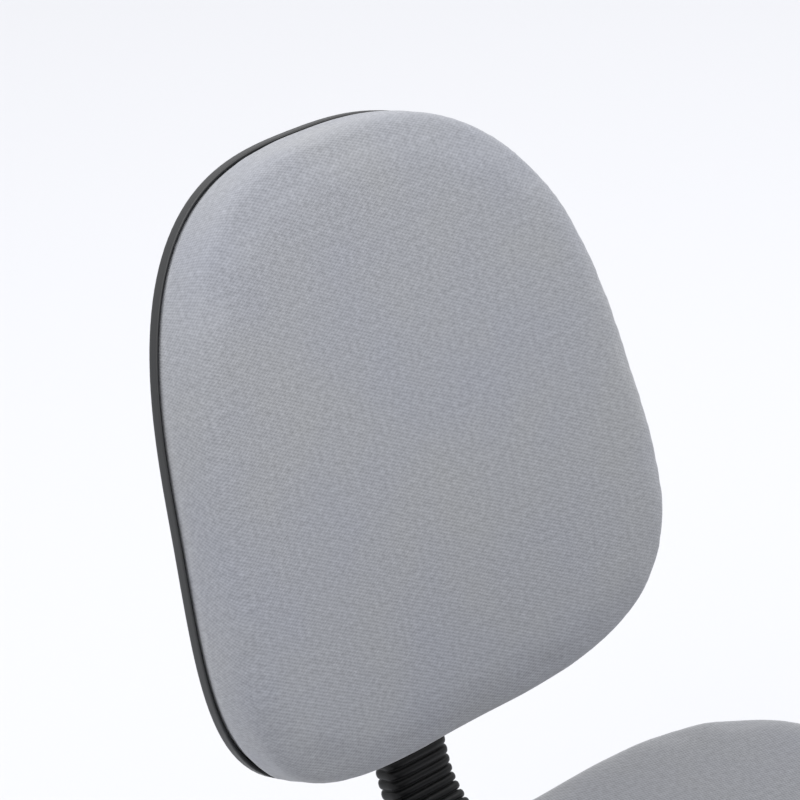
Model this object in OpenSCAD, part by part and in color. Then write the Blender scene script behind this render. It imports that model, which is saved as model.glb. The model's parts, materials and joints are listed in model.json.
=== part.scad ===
// Swivel chair for a desk: five-arm castored base, gas lift, tilting back mechanism,
// upholstered seat and a height-adjustable upholstered backrest on a flat steel upright.
// Millimetres, +Z up, the sitter faces -Y, origin on the floor under the middle of the chair.

/* [Base] */
// Place of the lift column's axis along Y from the origin
column_y = -84; // [-90:1:-78]
// Radius of the circle through the castor stems
stem_circle = 285; // [270:1:300]
// Number of arms on the star base
arms = 5; // [5]
// Diameter of a castor wheel
wheel_d = 50; // [48:1:52]
// Distance from a castor's stem to its axle
castor_trail = 18; // [17:0.5:19]

/* [Lift column] */
// Outer diameter of the standing tube
column_d = 50; // [50]
// Diameter of the pressure cylinder
lift_d = 28; // [28]
// Travel of the seat below its modelled height
lift_down = 50; // [30:1:50]
// Travel of the seat above its modelled height
lift_up = 70; // [50:1:70]

/* [Seat] */
// Width of the seat cushion
seat_w = 486; // [470:1:500]
// Depth of the seat cushion
seat_d = 434; // [425:1:445]
// Height of the crown of the seat above the floor
seat_top = 503; // [501:1:506]
// Squareness of the seat's corners, 2 being an ellipse
seat_corner = 3.3; // [2.8:0.1:3.8]
// Middle of the seat along Y from the column's axis
seat_mid = -10; // [-14:1:-6]

/* [Backrest] */
// Width of the backrest at half height
back_w = 453; // [440:1:470]
// Height of the backrest along its slope
back_h = 500; // [480:1:510]
// Lean of the backrest from the vertical
back_tilt = 18; // [16:0.5:20]
// Middle of the backrest along Y from the column's axis
back_y = 386; // [382:1:390]
// Height of the middle of the backrest
back_z = 750; // [745:1:755]
// Thickness of the upholstery in front of the shell's edge
pad_t = 42; // [38:1:46]
// Width of the shell's edge band
rim_w = 15.5; // [12:0.5:18]
// Radius of the sideways wrap of the backrest
wrap_r = 1370; // [1200:10:1600]
// Radius of the lumbar curve of the backrest
lumbar_r = 1850; // [1600:10:2200]
// Height of the lumbar curve's peak along the backrest
lumbar_y = -34; // [-60:1:0]

/* [Upright] */
// Width of the flat steel upright
bar_w = 40; // [36:1:44]
// Thickness of the upright
bar_t = 8; // [6:1:8]
// Distance of the upright's middle plane behind the shell's front edge
bar_back = 65; // [63:1:67]
// Height of the upright's flat run under the seat
bar_z = 394; // [393:1:396]
// Width of the bellows
bellows_w = 62; // [58:1:64]
// Depth of the bellows
bellows_d = 28; // [26:1:30]
// Spacing of the bellows' ribs
rib_pitch = 9; // [8:0.5:10]

/* [Hidden] */
$fn = 64;
smooth_fn = 96;

// Running clearance of a shaft in its hole, and the gap left between pieces that only pass
run_gap = 0.05;
free_gap = 0.5;
// Overlap that joins two stretches of one solid
weld = 0.02;

black_plastic = [0.06, 0.06, 0.065];
charcoal = [0.13, 0.13, 0.135];
steel = [0.62, 0.63, 0.65];
dark_steel = [0.09, 0.09, 0.1];
spring_steel = [0.3, 0.31, 0.33];
plywood = [0.72, 0.56, 0.38];
foam_colour = [0.93, 0.88, 0.7];
fabric = [0.6, 0.61, 0.64];

// ---------- castors and base ----------
wheel_r = wheel_d / 2;
wheel_in = 7;
wheel_out = 24.5;
wheel_rim = 4.5;
axle_r = 3;
hood_half = wheel_in - free_gap;
fender_in = wheel_r + 1.2;
fender_out = fender_in + 2.6;
hood_top = 60;
stem_low_r = 4;
stem_low_z = 38;
stem_r = 5.5;
stem_top = 92;
arm_under = 62;
arm_end_top = 97;
arm_width = 36;
arm_wall = 4;
arm_rib = 3;
boss_r = 18;
hub_low = 60;
hub_top = 125;
hub_r = 34;
first_arm = -90;
arm_step = 360 / arms;

// ---------- lift column ----------
tube_r = column_d / 2;
tube_wall = 3;
tube_low = 58;
tube_top = 295;
taper_share = 1 / 64;
function taper_r(z) = tube_r - (hub_top - z) * taper_share;
bearing_low = tube_low + 3;
bearing_top = bearing_low + 6;
rod_r = 5;
rod_low = 50;
rod_top = 270;
piston_t = 12;
bush_low = 215;
bush_flange = 3;
lift_r = lift_d / 2;
lift_wall = 2;
lift_low = 150;
lift_top = 418;
gas_low = lift_low + 12;
gas_top = 390;
valve_low = 396;
socket_low = 376;
socket_top = 419;
socket_r = 21;
pin_r = 4;
pin_top = 421.6;
pin_low = 400;
cover_wall = 1.5;
cover_lash = 0.4;
cover_r = tube_r + 0.5;
cover_low_top = 235;
cover_mid_low = 188;
cover_mid_top = 308;
cover_top_low = 262;

// ---------- mechanism, measured from the column's axis ----------
plate_top = 433;
sheet = 3;
plate_low = plate_top - sheet;
plate_x = 96;
plate_y = 116;
cheek_in = 42;
cheek_out = cheek_in + sheet;
cheek_low = 386;
cheek_front = -70;
cheek_rear = 106;
tray_rear = 26;
bolt_x = 80;
bolt_y = 100;
bolt_r = 4;
pivot_y = 90;
pivot_z = 402;
pivot_r = 5;
rocker_t = 4;
rocker_out = cheek_in - 1;
bar_bolt_ys = [125, 160];
coil_r = 9;
wire_r = 1.5;
coil_turns = 6;
coil_steps = 16;
coil_pitch = 3.6;
coil_start = -26;
lock_reach = 50;
lock_y = pivot_y - lock_reach;
lock_r = 5;
lever_r = 3.5;
lever_lash = 0.35;
lever_z = pin_top + lever_lash + lever_r;
lever_pivot_x = -cheek_in - sheet / 2;
lever_tip = 5;
fulcrum_r = lever_r + 0.5;
elbow_r = lever_r + 0.3;
lever_low_z = 398;
lever_drop = lever_z - lever_low_z;
lever_slope = 50;
lever_bend = -52;
lever_end = -230;
paddle_x = -212;

// ---------- seat stack ----------
pan_t = 12;
pan_low = 436;
pan_top = pan_low + pan_t;
pan_inset = 16;
shell_t = 3;
cover_t = 1.5;
arm_hole_x = 190;
arm_hole_y = [-40, 40];
insert_r = 5;
seat_n = 64;
front_fall_r = 340;
front_fall_y = -120;

// ---------- backrest, in its own frame: X across, Y up the slope, Z forwards ----------
outline_n = 80;
top_round = 2.73;
bottom_square = 3.5;
back_taper = 0.11;
panel_front = -4;
panel_flat = -20;
panel_rear = -13.5;
panel_edge = -9;
panel_inset = 8;
foam_root = panel_front + 0.6;
foam_inset = 9;
hump_front = -81;
hump_back = -86;
hump_half = 46;
hump_side = 52;
hump_top = 10;
hump_fade = 120;
dome = 18;
guide_low = -110;
guide_high = -30;
guide_half = bar_w / 2 + 8;
bar_end = 0;
bend_start = -303;
knob_y = -80;
stud_r = 5;
knob_r = 24;
knob_t = 16;
lobe_r = 8;
lobe_step = 72;
bar_rear = -bar_back - bar_t / 2;
bar_front = -bar_back + bar_t / 2;
slide_gap = 0.3;
guide_len = guide_high - guide_low;
guide_rear = bar_rear - 8;
screw_x = 40;
screw_ys = [-100, -40];
screw_r = 3;

// Where the upright leaves its slope and bends forwards to run level under the seat
bend_y = back_y + bend_start * sin(back_tilt) + bar_back * cos(back_tilt);
bend_z = back_z + bend_start * cos(back_tilt) - bar_back * sin(back_tilt);
bend_r = (bend_z - bar_z) / (1 - sin(back_tilt));
bend_angle = 90 - back_tilt;
level_end_y = bend_y - bend_r * cos(back_tilt);
bellows_front = 235;
bellows_into_back = 72;
bellows_level = level_end_y - bellows_front;
bellows_arc = bend_r * bend_angle * PI / 180;
bellows_len = bellows_level + bellows_arc + bellows_into_back;
rib_count = floor(bellows_len / rib_pitch);
bellows_n = 24;
bellows_corner = 4.5;
bellows_wall = 1.6;
rib_depth = 2.4;

// ---------- shared shapes ----------
module at_column() translate([0, column_y, 0]) children();
module in_back() at_column() translate([0, back_y, back_z]) rotate([90 - back_tilt, 0, 0]) children();
module at_arm(i) at_column() rotate(first_arm + i * arm_step) children();
module at_castor(i) at_arm(i) translate([stem_circle, 0, 0]) children();
module along_x(x0, x1, r) translate([x0, 0, 0]) rotate([0, 90, 0]) cylinder(r=r, h=x1 - x0);
module tube(r_out, r_in, h) difference() {
  cylinder(r=r_out, h=h);
  translate([0, 0, -1]) cylinder(r=r_in, h=h + 2);
}
module rounded_slab(size_x, size_y, h, r) linear_extrude(h) {
  square([size_x - 2 * r, size_y], center=true);
  square([size_x, size_y - 2 * r], center=true);
  for (sx = [-1, 1], sy = [-1, 1])
    translate([sx * (size_x / 2 - r), sy * (size_y / 2 - r)]) circle(r=r);
}

// A solid through a list of rings with the same number of points; the ends are fans to
// their middles, or the last ring joins the first where looped is true. Where flip is true
// the squares are cut along their other diagonal, to match a skin whose rings run the other way.
module skin(rings, looped=false, flip=false) {
  n = len(rings[0]);
  m = len(rings);
  last = m - 1;
  middle_0 = [for (k = [0:2]) [for (p = rings[0]) p[k]] * [for (p = rings[0]) 1] / n];
  middle_1 = [for (k = [0:2]) [for (p = rings[last]) p[k]] * [for (p = rings[last]) 1] / n];
  points = concat([for (ring = rings) each ring], looped ? [] : [middle_0, middle_1]);
  steps = looped ? last : last - 1;
  sides = [for (j = [0:steps], i = [0:n - 1])
    let (
      next_ring = ((j + 1) % m) * n,
      next = (i + 1) % n,
      a = j * n + i,
      b = next_ring + i,
      c = next_ring + next,
      d = j * n + next
    ) each flip ? [[a, b, d], [b, c, d]] : [[a, b, c], [a, c, d]]];
  caps = [for (i = [0:n - 1])
    each [[m * n, i, (i + 1) % n], [m * n + 1, last * n + (i + 1) % n, last * n + i]]];
  polyhedron(points, looped ? sides : concat(sides, caps), convexity=6);
}

function power_curve(v, n) = sign(v) * pow(abs(v), 2 / n);
// Distance from the middle to a superellipse with half sizes a and b and power n, at an angle
function reach(angle, a, b, n) = pow(pow(abs(cos(angle)) / a, n) + pow(abs(sin(angle)) / b, n), -1 / n);
function ease(v) = let (u = min(max(v, 0), 1)) u * u * (3 - 2 * u);
function blend(a, b, m) = a * (1 - m) + b * m;

// ---------- base ----------
module arm_side(shrink) polygon([
  [hub_r - 8, 70 + shrink],
  [stem_circle - 10, arm_under + 2 * shrink], [stem_circle, arm_under + 2 * shrink],
  [stem_circle, 92 - shrink], [stem_circle - 40, 98 - shrink],
  [hub_r - 8, 120 - shrink]
]);
module arm_beam(width, shrink) translate([0, width / 2, 0]) rotate([90, 0, 0]) linear_extrude(width)
  arm_side(shrink);

module base_star() color(black_plastic) difference() {
  union() {
    at_column() translate([0, 0, hub_low]) cylinder(r=hub_r, h=hub_top - hub_low);
    for (i = [0:arms - 1]) {
      at_arm(i) difference() {
        arm_beam(arm_width, 0);
        translate([0, 0, -6]) arm_beam(arm_width - 2 * arm_wall, 2);
      }
      at_arm(i) translate([hub_r - 6, -arm_rib / 2, 74]) cube([stem_circle - hub_r - 6, arm_rib, 16]);
      at_castor(i) translate([0, 0, arm_under]) cylinder(r=boss_r, h=arm_end_top - arm_under);
    }
  }
  at_column() translate([0, 0, hub_low - 1])
    cylinder(r1=taper_r(hub_low - 1) + weld, r2=taper_r(hub_top + 1) + weld, h=hub_top - hub_low + 2);
  for (i = [0:arms - 1])
    at_castor(i) translate([0, 0, arm_under - 1]) cylinder(r=stem_r + 0.02, h=stem_top - arm_under + 1.5);
}

// ---------- castors ----------
module castor_stem(i) at_castor(i) {
  translate([0, 0, stem_low_z]) cylinder(r=stem_low_r, h=hood_top - stem_low_z + 2);
  translate([0, 0, hood_top + 0.4]) cylinder(r=8, h=arm_under - hood_top - 0.4);
  translate([0, 0, arm_under]) cylinder(r=stem_r, h=stem_top - arm_under);
}
module castor_stems() color(steel) for (i = [0:arms - 1]) castor_stem(i);

module hood_web() rotate([90, 0, 0]) translate([0, 0, -hood_half]) linear_extrude(2 * hood_half) {
  translate([castor_trail, wheel_r]) circle(r=9);
  polygon([
    [-9, 37], [-9, 56], [castor_trail + 6, 52],
    [castor_trail + 9, wheel_r], [castor_trail - 9, wheel_r]
  ]);
}
module castor_hood(i) color(black_plastic) at_castor(i) difference() {
  union() {
    hood_web();
    translate([0, 0, 51]) cylinder(r=12, h=hood_top - 51);
    translate([castor_trail, 0, wheel_r]) rotate([90, 0, 0]) rotate([0, 0, 15])
      rotate_extrude(angle=165, $fn=smooth_fn)
        translate([fender_in, -wheel_out]) square([fender_out - fender_in, 2 * wheel_out]);
  }
  translate([0, 0, stem_low_z - 0.5]) cylinder(r=stem_low_r + run_gap, h=40);
  translate([castor_trail, 20, wheel_r]) rotate([90, 0, 0]) cylinder(r=axle_r + 0.02, h=40);
}
module castor_axle(i) color(steel) at_castor(i)
  translate([castor_trail, 19, wheel_r]) rotate([90, 0, 0]) cylinder(r=axle_r, h=38);

module wheel_profile() polygon([
  [axle_r + run_gap, wheel_in], [8, wheel_in], [8, 19],
  [wheel_r - wheel_rim, 19], [wheel_r - wheel_rim, wheel_in],
  [wheel_r - 1, wheel_in], [wheel_r, wheel_in + 1],
  [wheel_r, wheel_out - 4], [wheel_r - 1.2, wheel_out - 1.2], [wheel_r - 4, wheel_out],
  [0, wheel_out], [0, 19.5], [axle_r + run_gap, 19.5]
]);
// side is 1 for the wheel on the castor's left and -1 for the one on its right
module castor_wheel(i, side) color(charcoal) at_castor(i) translate([castor_trail, 0, wheel_r])
  rotate([-90 * side, 0, 0]) rotate_extrude($fn=smooth_fn) wheel_profile();

// ---------- lift column ----------
module column_tube() color(dark_steel) at_column() difference() {
  union() {
    translate([0, 0, tube_low]) cylinder(r1=taper_r(tube_low), r2=tube_r, h=hub_top - tube_low);
    translate([0, 0, hub_top]) cylinder(r=tube_r, h=tube_top - hub_top);
  }
  translate([0, 0, bearing_low]) cylinder(r=tube_r - tube_wall, h=tube_top);
  translate([0, 0, tube_low - 1]) cylinder(r=rod_r + 2, h=10);
}
module guide_bush() color(charcoal) at_column() {
  translate([0, 0, bush_low]) tube(tube_r - tube_wall - 0.02, lift_r + run_gap, tube_top - bush_low);
  translate([0, 0, tube_top]) tube(tube_r, lift_r + run_gap, bush_flange);
}
module thrust_bearing() color(steel) at_column() {
  translate([0, 0, bearing_low]) tube(13, rod_r + 1, 1.5);
  translate([0, 0, bearing_top - 1.5]) tube(13, rod_r + 1, 1.5);
  for (k = [0:9]) rotate(k * 36) translate([9.5, 0, bearing_low + 3]) sphere(r=1.6, $fn=24);
}
module retaining_clip() color(spring_steel) at_column() translate([0, 0, tube_low - 3.4]) difference() {
  tube(10, rod_r - 1, 1.6);
  translate([0, -2.5, -1]) cube([12, 5, 4]);
}
module piston_rod() color(steel) at_column() {
  difference() {
    translate([0, 0, rod_low]) cylinder(r=rod_r, h=rod_top - rod_low);
    translate([0, 0, tube_low - 3.6]) tube(rod_r + 1, rod_r - 1.05, 2);
  }
  translate([0, 0, bearing_top + 0.3]) cylinder(r=10, h=3);
  translate([0, 0, rod_top - piston_t]) cylinder(r=lift_r - lift_wall - run_gap, h=piston_t);
}
module rod_buffer() color(black_plastic) at_column() translate([0, 0, bearing_top + 3.5])
  tube(15, rod_r + run_gap, 12);
module pressure_cylinder() color(dark_steel) at_column() difference() {
  union() {
    translate([0, 0, lift_low]) cylinder(r=lift_r, h=socket_low - lift_low);
    translate([0, 0, socket_low]) cylinder(r1=lift_r, r2=lift_r - 1, h=lift_top - socket_low);
  }
  translate([0, 0, lift_low - 1]) cylinder(r=rod_r + run_gap, h=20);
  translate([0, 0, gas_low]) cylinder(r=lift_r - lift_wall, h=gas_top - gas_low);
  translate([0, 0, valve_low]) cylinder(r=pin_r + run_gap, h=40);
}
module release_pin() color(steel) at_column()
  translate([0, 0, pin_low]) cylinder(r=pin_r, h=pin_top - pin_low);

// One sleeve of the telescopic dust cover; size is 0 for the narrowest
module cover_sleeve(size, low, high) let (r = cover_r + size * (cover_wall + cover_lash))
  translate([0, 0, low]) tube(r + cover_wall, r, high - low);
module dust_cover_lower() color(black_plastic) at_column() cover_sleeve(2, hub_top, cover_low_top);
module dust_cover_middle() color(black_plastic) at_column() cover_sleeve(1, cover_mid_low, cover_mid_top);
module dust_cover_upper() color(black_plastic) at_column() {
  cover_sleeve(0, cover_top_low, cheek_low - free_gap);
  translate([0, 0, cheek_low - 4]) tube(cover_r + cover_wall, socket_r + 0.1, 4 - free_gap);
}

// ---------- mechanism ----------
module bolt_places() for (sx = [-1, 1], sy = [-1, 1]) translate([sx * bolt_x, sy * bolt_y, 0]) children();

module mechanism_body() color(dark_steel) at_column() difference() {
  union() {
    translate([0, 0, plate_low]) rounded_slab(2 * plate_x, 2 * plate_y, sheet, 14);
    for (side = [-1, 1]) translate([side > 0 ? cheek_in : -cheek_out, cheek_front, cheek_low])
      cube([sheet, cheek_rear - cheek_front, plate_top - cheek_low - 1]);
    translate([-cheek_out, cheek_front, cheek_low]) cube([2 * cheek_out, tray_rear - cheek_front, sheet]);
    translate([0, 0, socket_low]) cylinder(r=socket_r, h=socket_top - socket_low);
  }
  bolt_places() translate([0, 0, plate_low - 1]) cylinder(r=bolt_r + 0.3, h=sheet + 2);
  translate([0, 0, socket_low - 0.01]) cylinder(r1=lift_r + 0.02, r2=lift_r - 1, h=lift_top - socket_low);
  translate([0, 0, lift_top - 1]) cylinder(r=lift_r - 1, h=5);
  translate([0, pivot_y, pivot_z]) along_x(-60, 60, pivot_r + 0.02);
  translate([0, lock_y, pivot_z]) along_x(-60, 60, lock_r + run_gap);
  translate([-cheek_out - 1, -lever_r - free_gap, lever_z - lever_r - 1])
    cube([sheet + 2, 2 * (lever_r + free_gap), plate_low - lever_z + lever_r + 1]);
}

// Part of a ring around the pivot, wider than the lock rod by extra on each side, from the
// angle below to the angle above the level line that runs forwards (drawn to the left)
module ring_part(extra, below, above) intersection() {
  difference() {
    circle(r=lock_reach + lock_r + extra, $fn=smooth_fn);
    circle(r=lock_reach - lock_r - extra, $fn=smooth_fn);
  }
  polygon([[0, 0], 100 * [-cos(above), sin(above)], [-110, 0], 100 * [-cos(below), -sin(below)]]);
}
module rocker_ear() difference() {
  union() {
    circle(r=14);
    translate([0, bar_z - bar_t / 2 - rocker_t - pivot_z]) square([60, 20]);
    polygon([[0, -14], [0, 14], [-lock_reach, 16], [-lock_reach, -12]]);
    ring_part(5, 17, 22);
  }
  circle(r=pivot_r + run_gap);
  ring_part(free_gap, 12.5, 18.5);
}
module back_rocker() color(dark_steel) at_column() difference() {
  union() {
    for (x = [-rocker_out, rocker_out - rocker_t]) translate([x, pivot_y, pivot_z])
      rotate([90, 0, 90]) linear_extrude(rocker_t) rocker_ear();
    translate([-rocker_out, pivot_y, bar_z - bar_t / 2 - rocker_t]) cube([2 * rocker_out, 90, rocker_t]);
  }
  for (y = bar_bolt_ys) translate([0, y, bar_z - 20]) cylinder(r=bolt_r + 0.1, h=20);
}
module pivot_pin() color(steel) at_column() translate([0, pivot_y, pivot_z]) {
  along_x(-cheek_out - 3, cheek_out + 3, pivot_r);
  along_x(-cheek_out - 5, -cheek_out - 0.2, 8);
  along_x(cheek_out + 0.2, cheek_out + 5, 8);
}

// Torsion spring wound on the pivot pin, one leg under the plate and one on the upright
function coil_ring(k) = let (a = 360 * k / coil_steps, x = coil_start + k * coil_pitch / coil_steps)
  [for (u = [0:60:300]) let (r = coil_r + wire_r * sin(u)) [x + wire_r * cos(u), r * cos(a), r * sin(a)]];
function lifted(ring, z) = [for (p = ring) p + [0, 0, z]];
module recline_spring() color(spring_steel) at_column() translate([0, pivot_y, pivot_z]) skin(concat(
  [lifted(coil_ring(0), -11)],
  [for (k = [0:coil_turns * coil_steps]) coil_ring(k)],
  [lifted(coil_ring(coil_turns * coil_steps), 27)]
));

module lock_lever() color(dark_steel) at_column() translate([0, lock_y, pivot_z]) {
  along_x(lever_end, cheek_out + 6, lock_r);
  along_x(cheek_out + 0.3, cheek_out + 6, 9);
}
module lock_paddle() color(black_plastic) at_column() translate([0, lock_y, pivot_z]) difference() {
  translate([paddle_x, 14, -6.5]) rounded_slab(74, 52, 13, 10);
  along_x(lever_end - 0.5, 0, lock_r + weld);
}
// A short round boss across the lever, at its fulcrum in the cheek and at its two bends
module lever_boss(x, z, r, half) translate([x, half, z]) rotate([90, 0, 0]) cylinder(r=r, h=2 * half);
module height_lever() color(dark_steel) at_column() {
  translate([0, 0, lever_z]) along_x(lever_bend, lever_tip, lever_r);
  lever_boss(lever_pivot_x, lever_z, fulcrum_r, lever_r - 0.5);
  lever_boss(lever_bend, lever_z, elbow_r, lever_r + 0.5);
  translate([lever_bend, 0, lever_z]) rotate([0, -90 - atan2(lever_drop, lever_slope), 0])
    cylinder(r=lever_r, h=norm([lever_slope, lever_drop]));
  lever_boss(lever_bend - lever_slope, lever_low_z, elbow_r, lever_r + 0.5);
  translate([0, 0, lever_low_z]) along_x(lever_end, lever_bend - lever_slope, lever_r);
}
module height_paddle() color(black_plastic) at_column() translate([0, 0, lever_low_z]) difference() {
  translate([paddle_x, -6, -6]) rounded_slab(76, 36, 12, 10);
  along_x(lever_end - 0.5, 0, lever_r + weld);
}

// ---------- upright and bellows ----------
// Place and slope of the upright's middle line at a length s from the bellows' front end
function bar_line(s) =
  s < bellows_level ? [bellows_front + s, bar_z, 0] :
  s < bellows_level + bellows_arc ?
    let (a = (s - bellows_level) / bend_r * 180 / PI)
      [level_end_y + bend_r * sin(a), bar_z + bend_r * (1 - cos(a)), a] :
    let (rest = s - bellows_level - bellows_arc)
      [bend_y + rest * sin(back_tilt), bend_z + rest * cos(back_tilt), bend_angle];

bar_steps = 24;
bar_stops = [
  pivot_y + 15 - bellows_front,
  for (k = [0:bar_steps]) bellows_level + k * bellows_arc / bar_steps,
  bellows_level + bellows_arc + bar_end - bend_start
];
// One face of the upright seen from the side, at a distance d in front of its middle line
function bar_face(d) = [for (s = bar_stops) let (line = bar_line(s))
  [line[0] - d * sin(line[2]), line[1] + d * cos(line[2])]];
function backwards(list) = [for (k = [len(list) - 1:-1:0]) list[k]];
module back_upright() color(dark_steel) at_column() difference() {
  translate([-bar_w / 2, 0, 0]) rotate([90, 0, 90]) linear_extrude(bar_w)
    polygon(concat(bar_face(-bar_t / 2), backwards(bar_face(bar_t / 2))));
  for (y = bar_bolt_ys) translate([0, y, bar_z - 20]) cylinder(r=bolt_r + 0.1, h=40);
}
module upright_bolts() color(steel) at_column() for (y = bar_bolt_ys) translate([0, y, 0]) {
  translate([0, 0, bar_z - bar_t / 2 - rocker_t - 5.3]) cylinder(r=bolt_r, h=bar_t + rocker_t + 5.3 + 0.05);
  translate([0, 0, bar_z + bar_t / 2 + 0.05]) cylinder(r=7, h=5);
  translate([0, 0, bar_z - bar_t / 2 - rocker_t - 6.05]) cylinder(r=6.5, h=6, $fn=6);
}

function bellows_ring(s, half_w, half_d) = let (line = bar_line(s)) [for (i = [0:bellows_n - 1])
  let (
    t = 360 * i / bellows_n,
    x = -half_w * power_curve(cos(t), bellows_corner),
    d = half_d * power_curve(sin(t), bellows_corner)
  ) [x, line[0] - d * sin(line[2]), line[1] + d * cos(line[2])]];
module upright_bellows() color(black_plastic) at_column() skin(concat(
  [for (k = [0:2 * rib_count]) let (dip = k % 2 * rib_depth)
    bellows_ring(k * rib_pitch / 2, bellows_w / 2 - dip, bellows_d / 2 - dip)],
  [for (k = [rib_count:-1:0]) bellows_ring(k * rib_pitch,
    bellows_w / 2 - rib_depth - bellows_wall, bellows_d / 2 - rib_depth - bellows_wall)]
), looped=true);

// ---------- backrest ----------
function back_bend(x, y) = x * x / (2 * wrap_r) - pow(y - lumbar_y, 2) / (2 * lumbar_r);
// Points of the backrest's outline, drawn in by inset and then shrunk by a factor
function back_outline(inset, factor=1) = [for (i = [0:outline_n - 1])
  let (
    t = 360 * i / outline_n,
    r = reach(t, back_w / 2 - inset, back_h / 2 - inset, sin(t) > 0 ? top_round : bottom_square),
    y = r * sin(t),
    x = r * cos(t) * (1 - back_taper * 2 * y / back_h)
  ) factor * [x, y]];
function back_ring(inset, w, factor=1, flat_w=0, flat_share=0) = [for (p = back_outline(inset, factor))
  [p[0], p[1], blend(w + back_bend(p[0], p[1]), flat_w, flat_share)]];

pad_side = [[3, 1.2], [1.5, 8], [1.5, 22], [4, 31], [9, 36.5], [17, 39]];
pad_crown = 5;
inner_factors = [0.75, 0.5, 0.25];
function pad_ring(k, grow) = back_ring(pad_side[k][0] - grow,
  pad_side[k][1] + (k == 0 ? 0 : grow) * pad_side[k][1] / 39 + pad_t - 42);
function pad_top(f, grow) = back_ring(17 - grow, 39 + grow + pad_t - 42 + pad_crown * (1 - f * f), f);

module back_foam() color(foam_colour) in_back() skin(concat(
  [for (f = [0.25, 0.5, 0.75]) back_ring(foam_inset, foam_root, f)],
  [back_ring(foam_inset, foam_root), back_ring(foam_inset, 1)],
  [for (k = [0:5]) pad_ring(k, 0)],
  [for (f = inner_factors) pad_top(f, 0)]
), flip=true);
module back_cover() color(fabric) in_back() skin(concat(
  [for (f = [0.25, 0.5, 0.75]) pad_top(f, 0)],
  [for (k = [5:-1:0]) pad_ring(k, 0)],
  [for (k = [0:5]) pad_ring(k, cover_t)],
  [for (f = inner_factors) pad_top(f, cover_t)]
));

module screw_places() for (sx = [-1, 1], y = screw_ys) translate([sx * screw_x, y, 0]) children();

module back_panel() color(plywood) in_back() difference() {
  skin(concat(
    [for (f = [0.25, 0.5]) back_ring(panel_inset, panel_rear, f, panel_flat, 1)],
    [for (f = [0.62, 0.76, 0.9]) back_ring(panel_inset, panel_rear, f)],
    [back_ring(panel_inset, panel_edge), back_ring(panel_inset, panel_front)],
    [for (f = inner_factors) back_ring(panel_inset, panel_front, f)]
  ));
  screw_places() translate([0, 0, panel_flat - 5]) cylinder(r=screw_r + run_gap, h=14);
}

function hump(x, y) =
  (1 - ease((abs(x) - hump_half) / hump_side)) * (1 - ease((y - hump_top) / hump_fade));
// One ring of the shell; deep is the level it takes inside the hump
function shell_ring(inset, w, deep, factor=1) = [for (p = back_outline(inset, factor))
  [p[0], p[1], blend(w + back_bend(p[0], p[1]), deep, hump(p[0], p[1]))]];
shell_factors = [0.12, 0.24, 0.36, 0.48, 0.6, 0.7, 0.8, 0.88, 0.95];
module back_shell() color(charcoal) in_back() difference() {
  skin(concat(
    [for (f = shell_factors) shell_ring(3, -rim_w - dome * (1 - f * f), hump_back, f)],
    [shell_ring(2, -rim_w, hump_back), shell_ring(0, -rim_w * 0.6, hump_back + 2)],
    [shell_ring(0, 0, hump_front), shell_ring(shell_t, 0, hump_front)],
    [shell_ring(shell_t, -rim_w * 0.6, hump_front - 1)],
    [for (k = [8:-1:0]) shell_ring(6, shell_t - rim_w - dome * (1 - pow(shell_factors[k], 2)),
      hump_back + shell_t, shell_factors[k])]
  ));
  translate([0, knob_y, -120]) cylinder(r=stud_r + 1, h=60);
}

module back_slide_guide() color(dark_steel) in_back() difference() {
  union() {
    translate([0, (guide_low + guide_high) / 2, panel_flat - 4]) rounded_slab(108, guide_len, 4, 8);
    for (x = [-guide_half, guide_half - 4]) translate([x, guide_low, guide_rear])
      cube([4, guide_len, panel_flat - 3 - guide_rear]);
    translate([-guide_half, guide_low, bar_front + slide_gap]) cube([2 * guide_half, guide_len, 4]);
    translate([-guide_half, guide_low, guide_rear]) cube([2 * guide_half, guide_len, 5]);
    for (x = [-guide_half, bar_w / 2 + slide_gap]) translate([x, guide_low, guide_rear])
      cube([guide_half - bar_w / 2 - slide_gap, guide_len, bar_t + 9]);
  }
  screw_places() translate([0, 0, panel_flat - 5]) cylinder(r=screw_r + 0.3, h=6);
  translate([0, knob_y, bar_rear - 9]) cylinder(r=stud_r + run_gap, h=7);
}
module clamp_plate() color(steel) in_back()
  translate([0, knob_y, bar_rear - 2.7]) rounded_slab(34, 34, 2.4, 4);
module clamp_stud() color(steel) in_back() translate([0, knob_y, hump_back - 14])
  cylinder(r=stud_r, h=bar_rear - 2.8 - hump_back + 14);
module clamp_knob() color(black_plastic) in_back() translate([0, knob_y, hump_back - 22]) difference() {
  union() {
    linear_extrude(knob_t) {
      circle(r=knob_r - 5);
      for (a = [18:lobe_step:359]) rotate(a) translate([knob_r - lobe_r, 0]) circle(r=lobe_r);
    }
    translate([0, 0, knob_t - 1]) cylinder(r=11, h=5);
  }
  translate([0, 0, knob_t / 2]) cylinder(r=stud_r + weld, h=20);
}
module guide_screws() color(steel) in_back() screw_places() {
  translate([0, 0, panel_flat - 4.5]) cylinder(r=screw_r, h=12.5);
  translate([0, 0, panel_flat - 7.5]) cylinder(r=5.5, h=3.45);
}

// ---------- seat, measured from the column's axis ----------
function seat_outline(inset, factor=1) = [for (i = [0:seat_n - 1])
  let (t = 360 * i / seat_n, r = factor * reach(t, seat_w / 2 - inset, seat_d / 2 - inset, seat_corner))
  [r * cos(t), seat_mid + r * sin(t)]];
function front_fall(y) = y < front_fall_y ? pow(y - front_fall_y, 2) / (2 * front_fall_r) : 0;
// The front of the cushion falls away; the share of the fall grows with height above the pan
function seat_ring(inset, z, factor=1) = [for (p = seat_outline(inset, factor))
  [p[0], p[1], z - front_fall(p[1]) * min(max((z - pan_top - 10) / 40, 0), 1)]];

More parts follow.
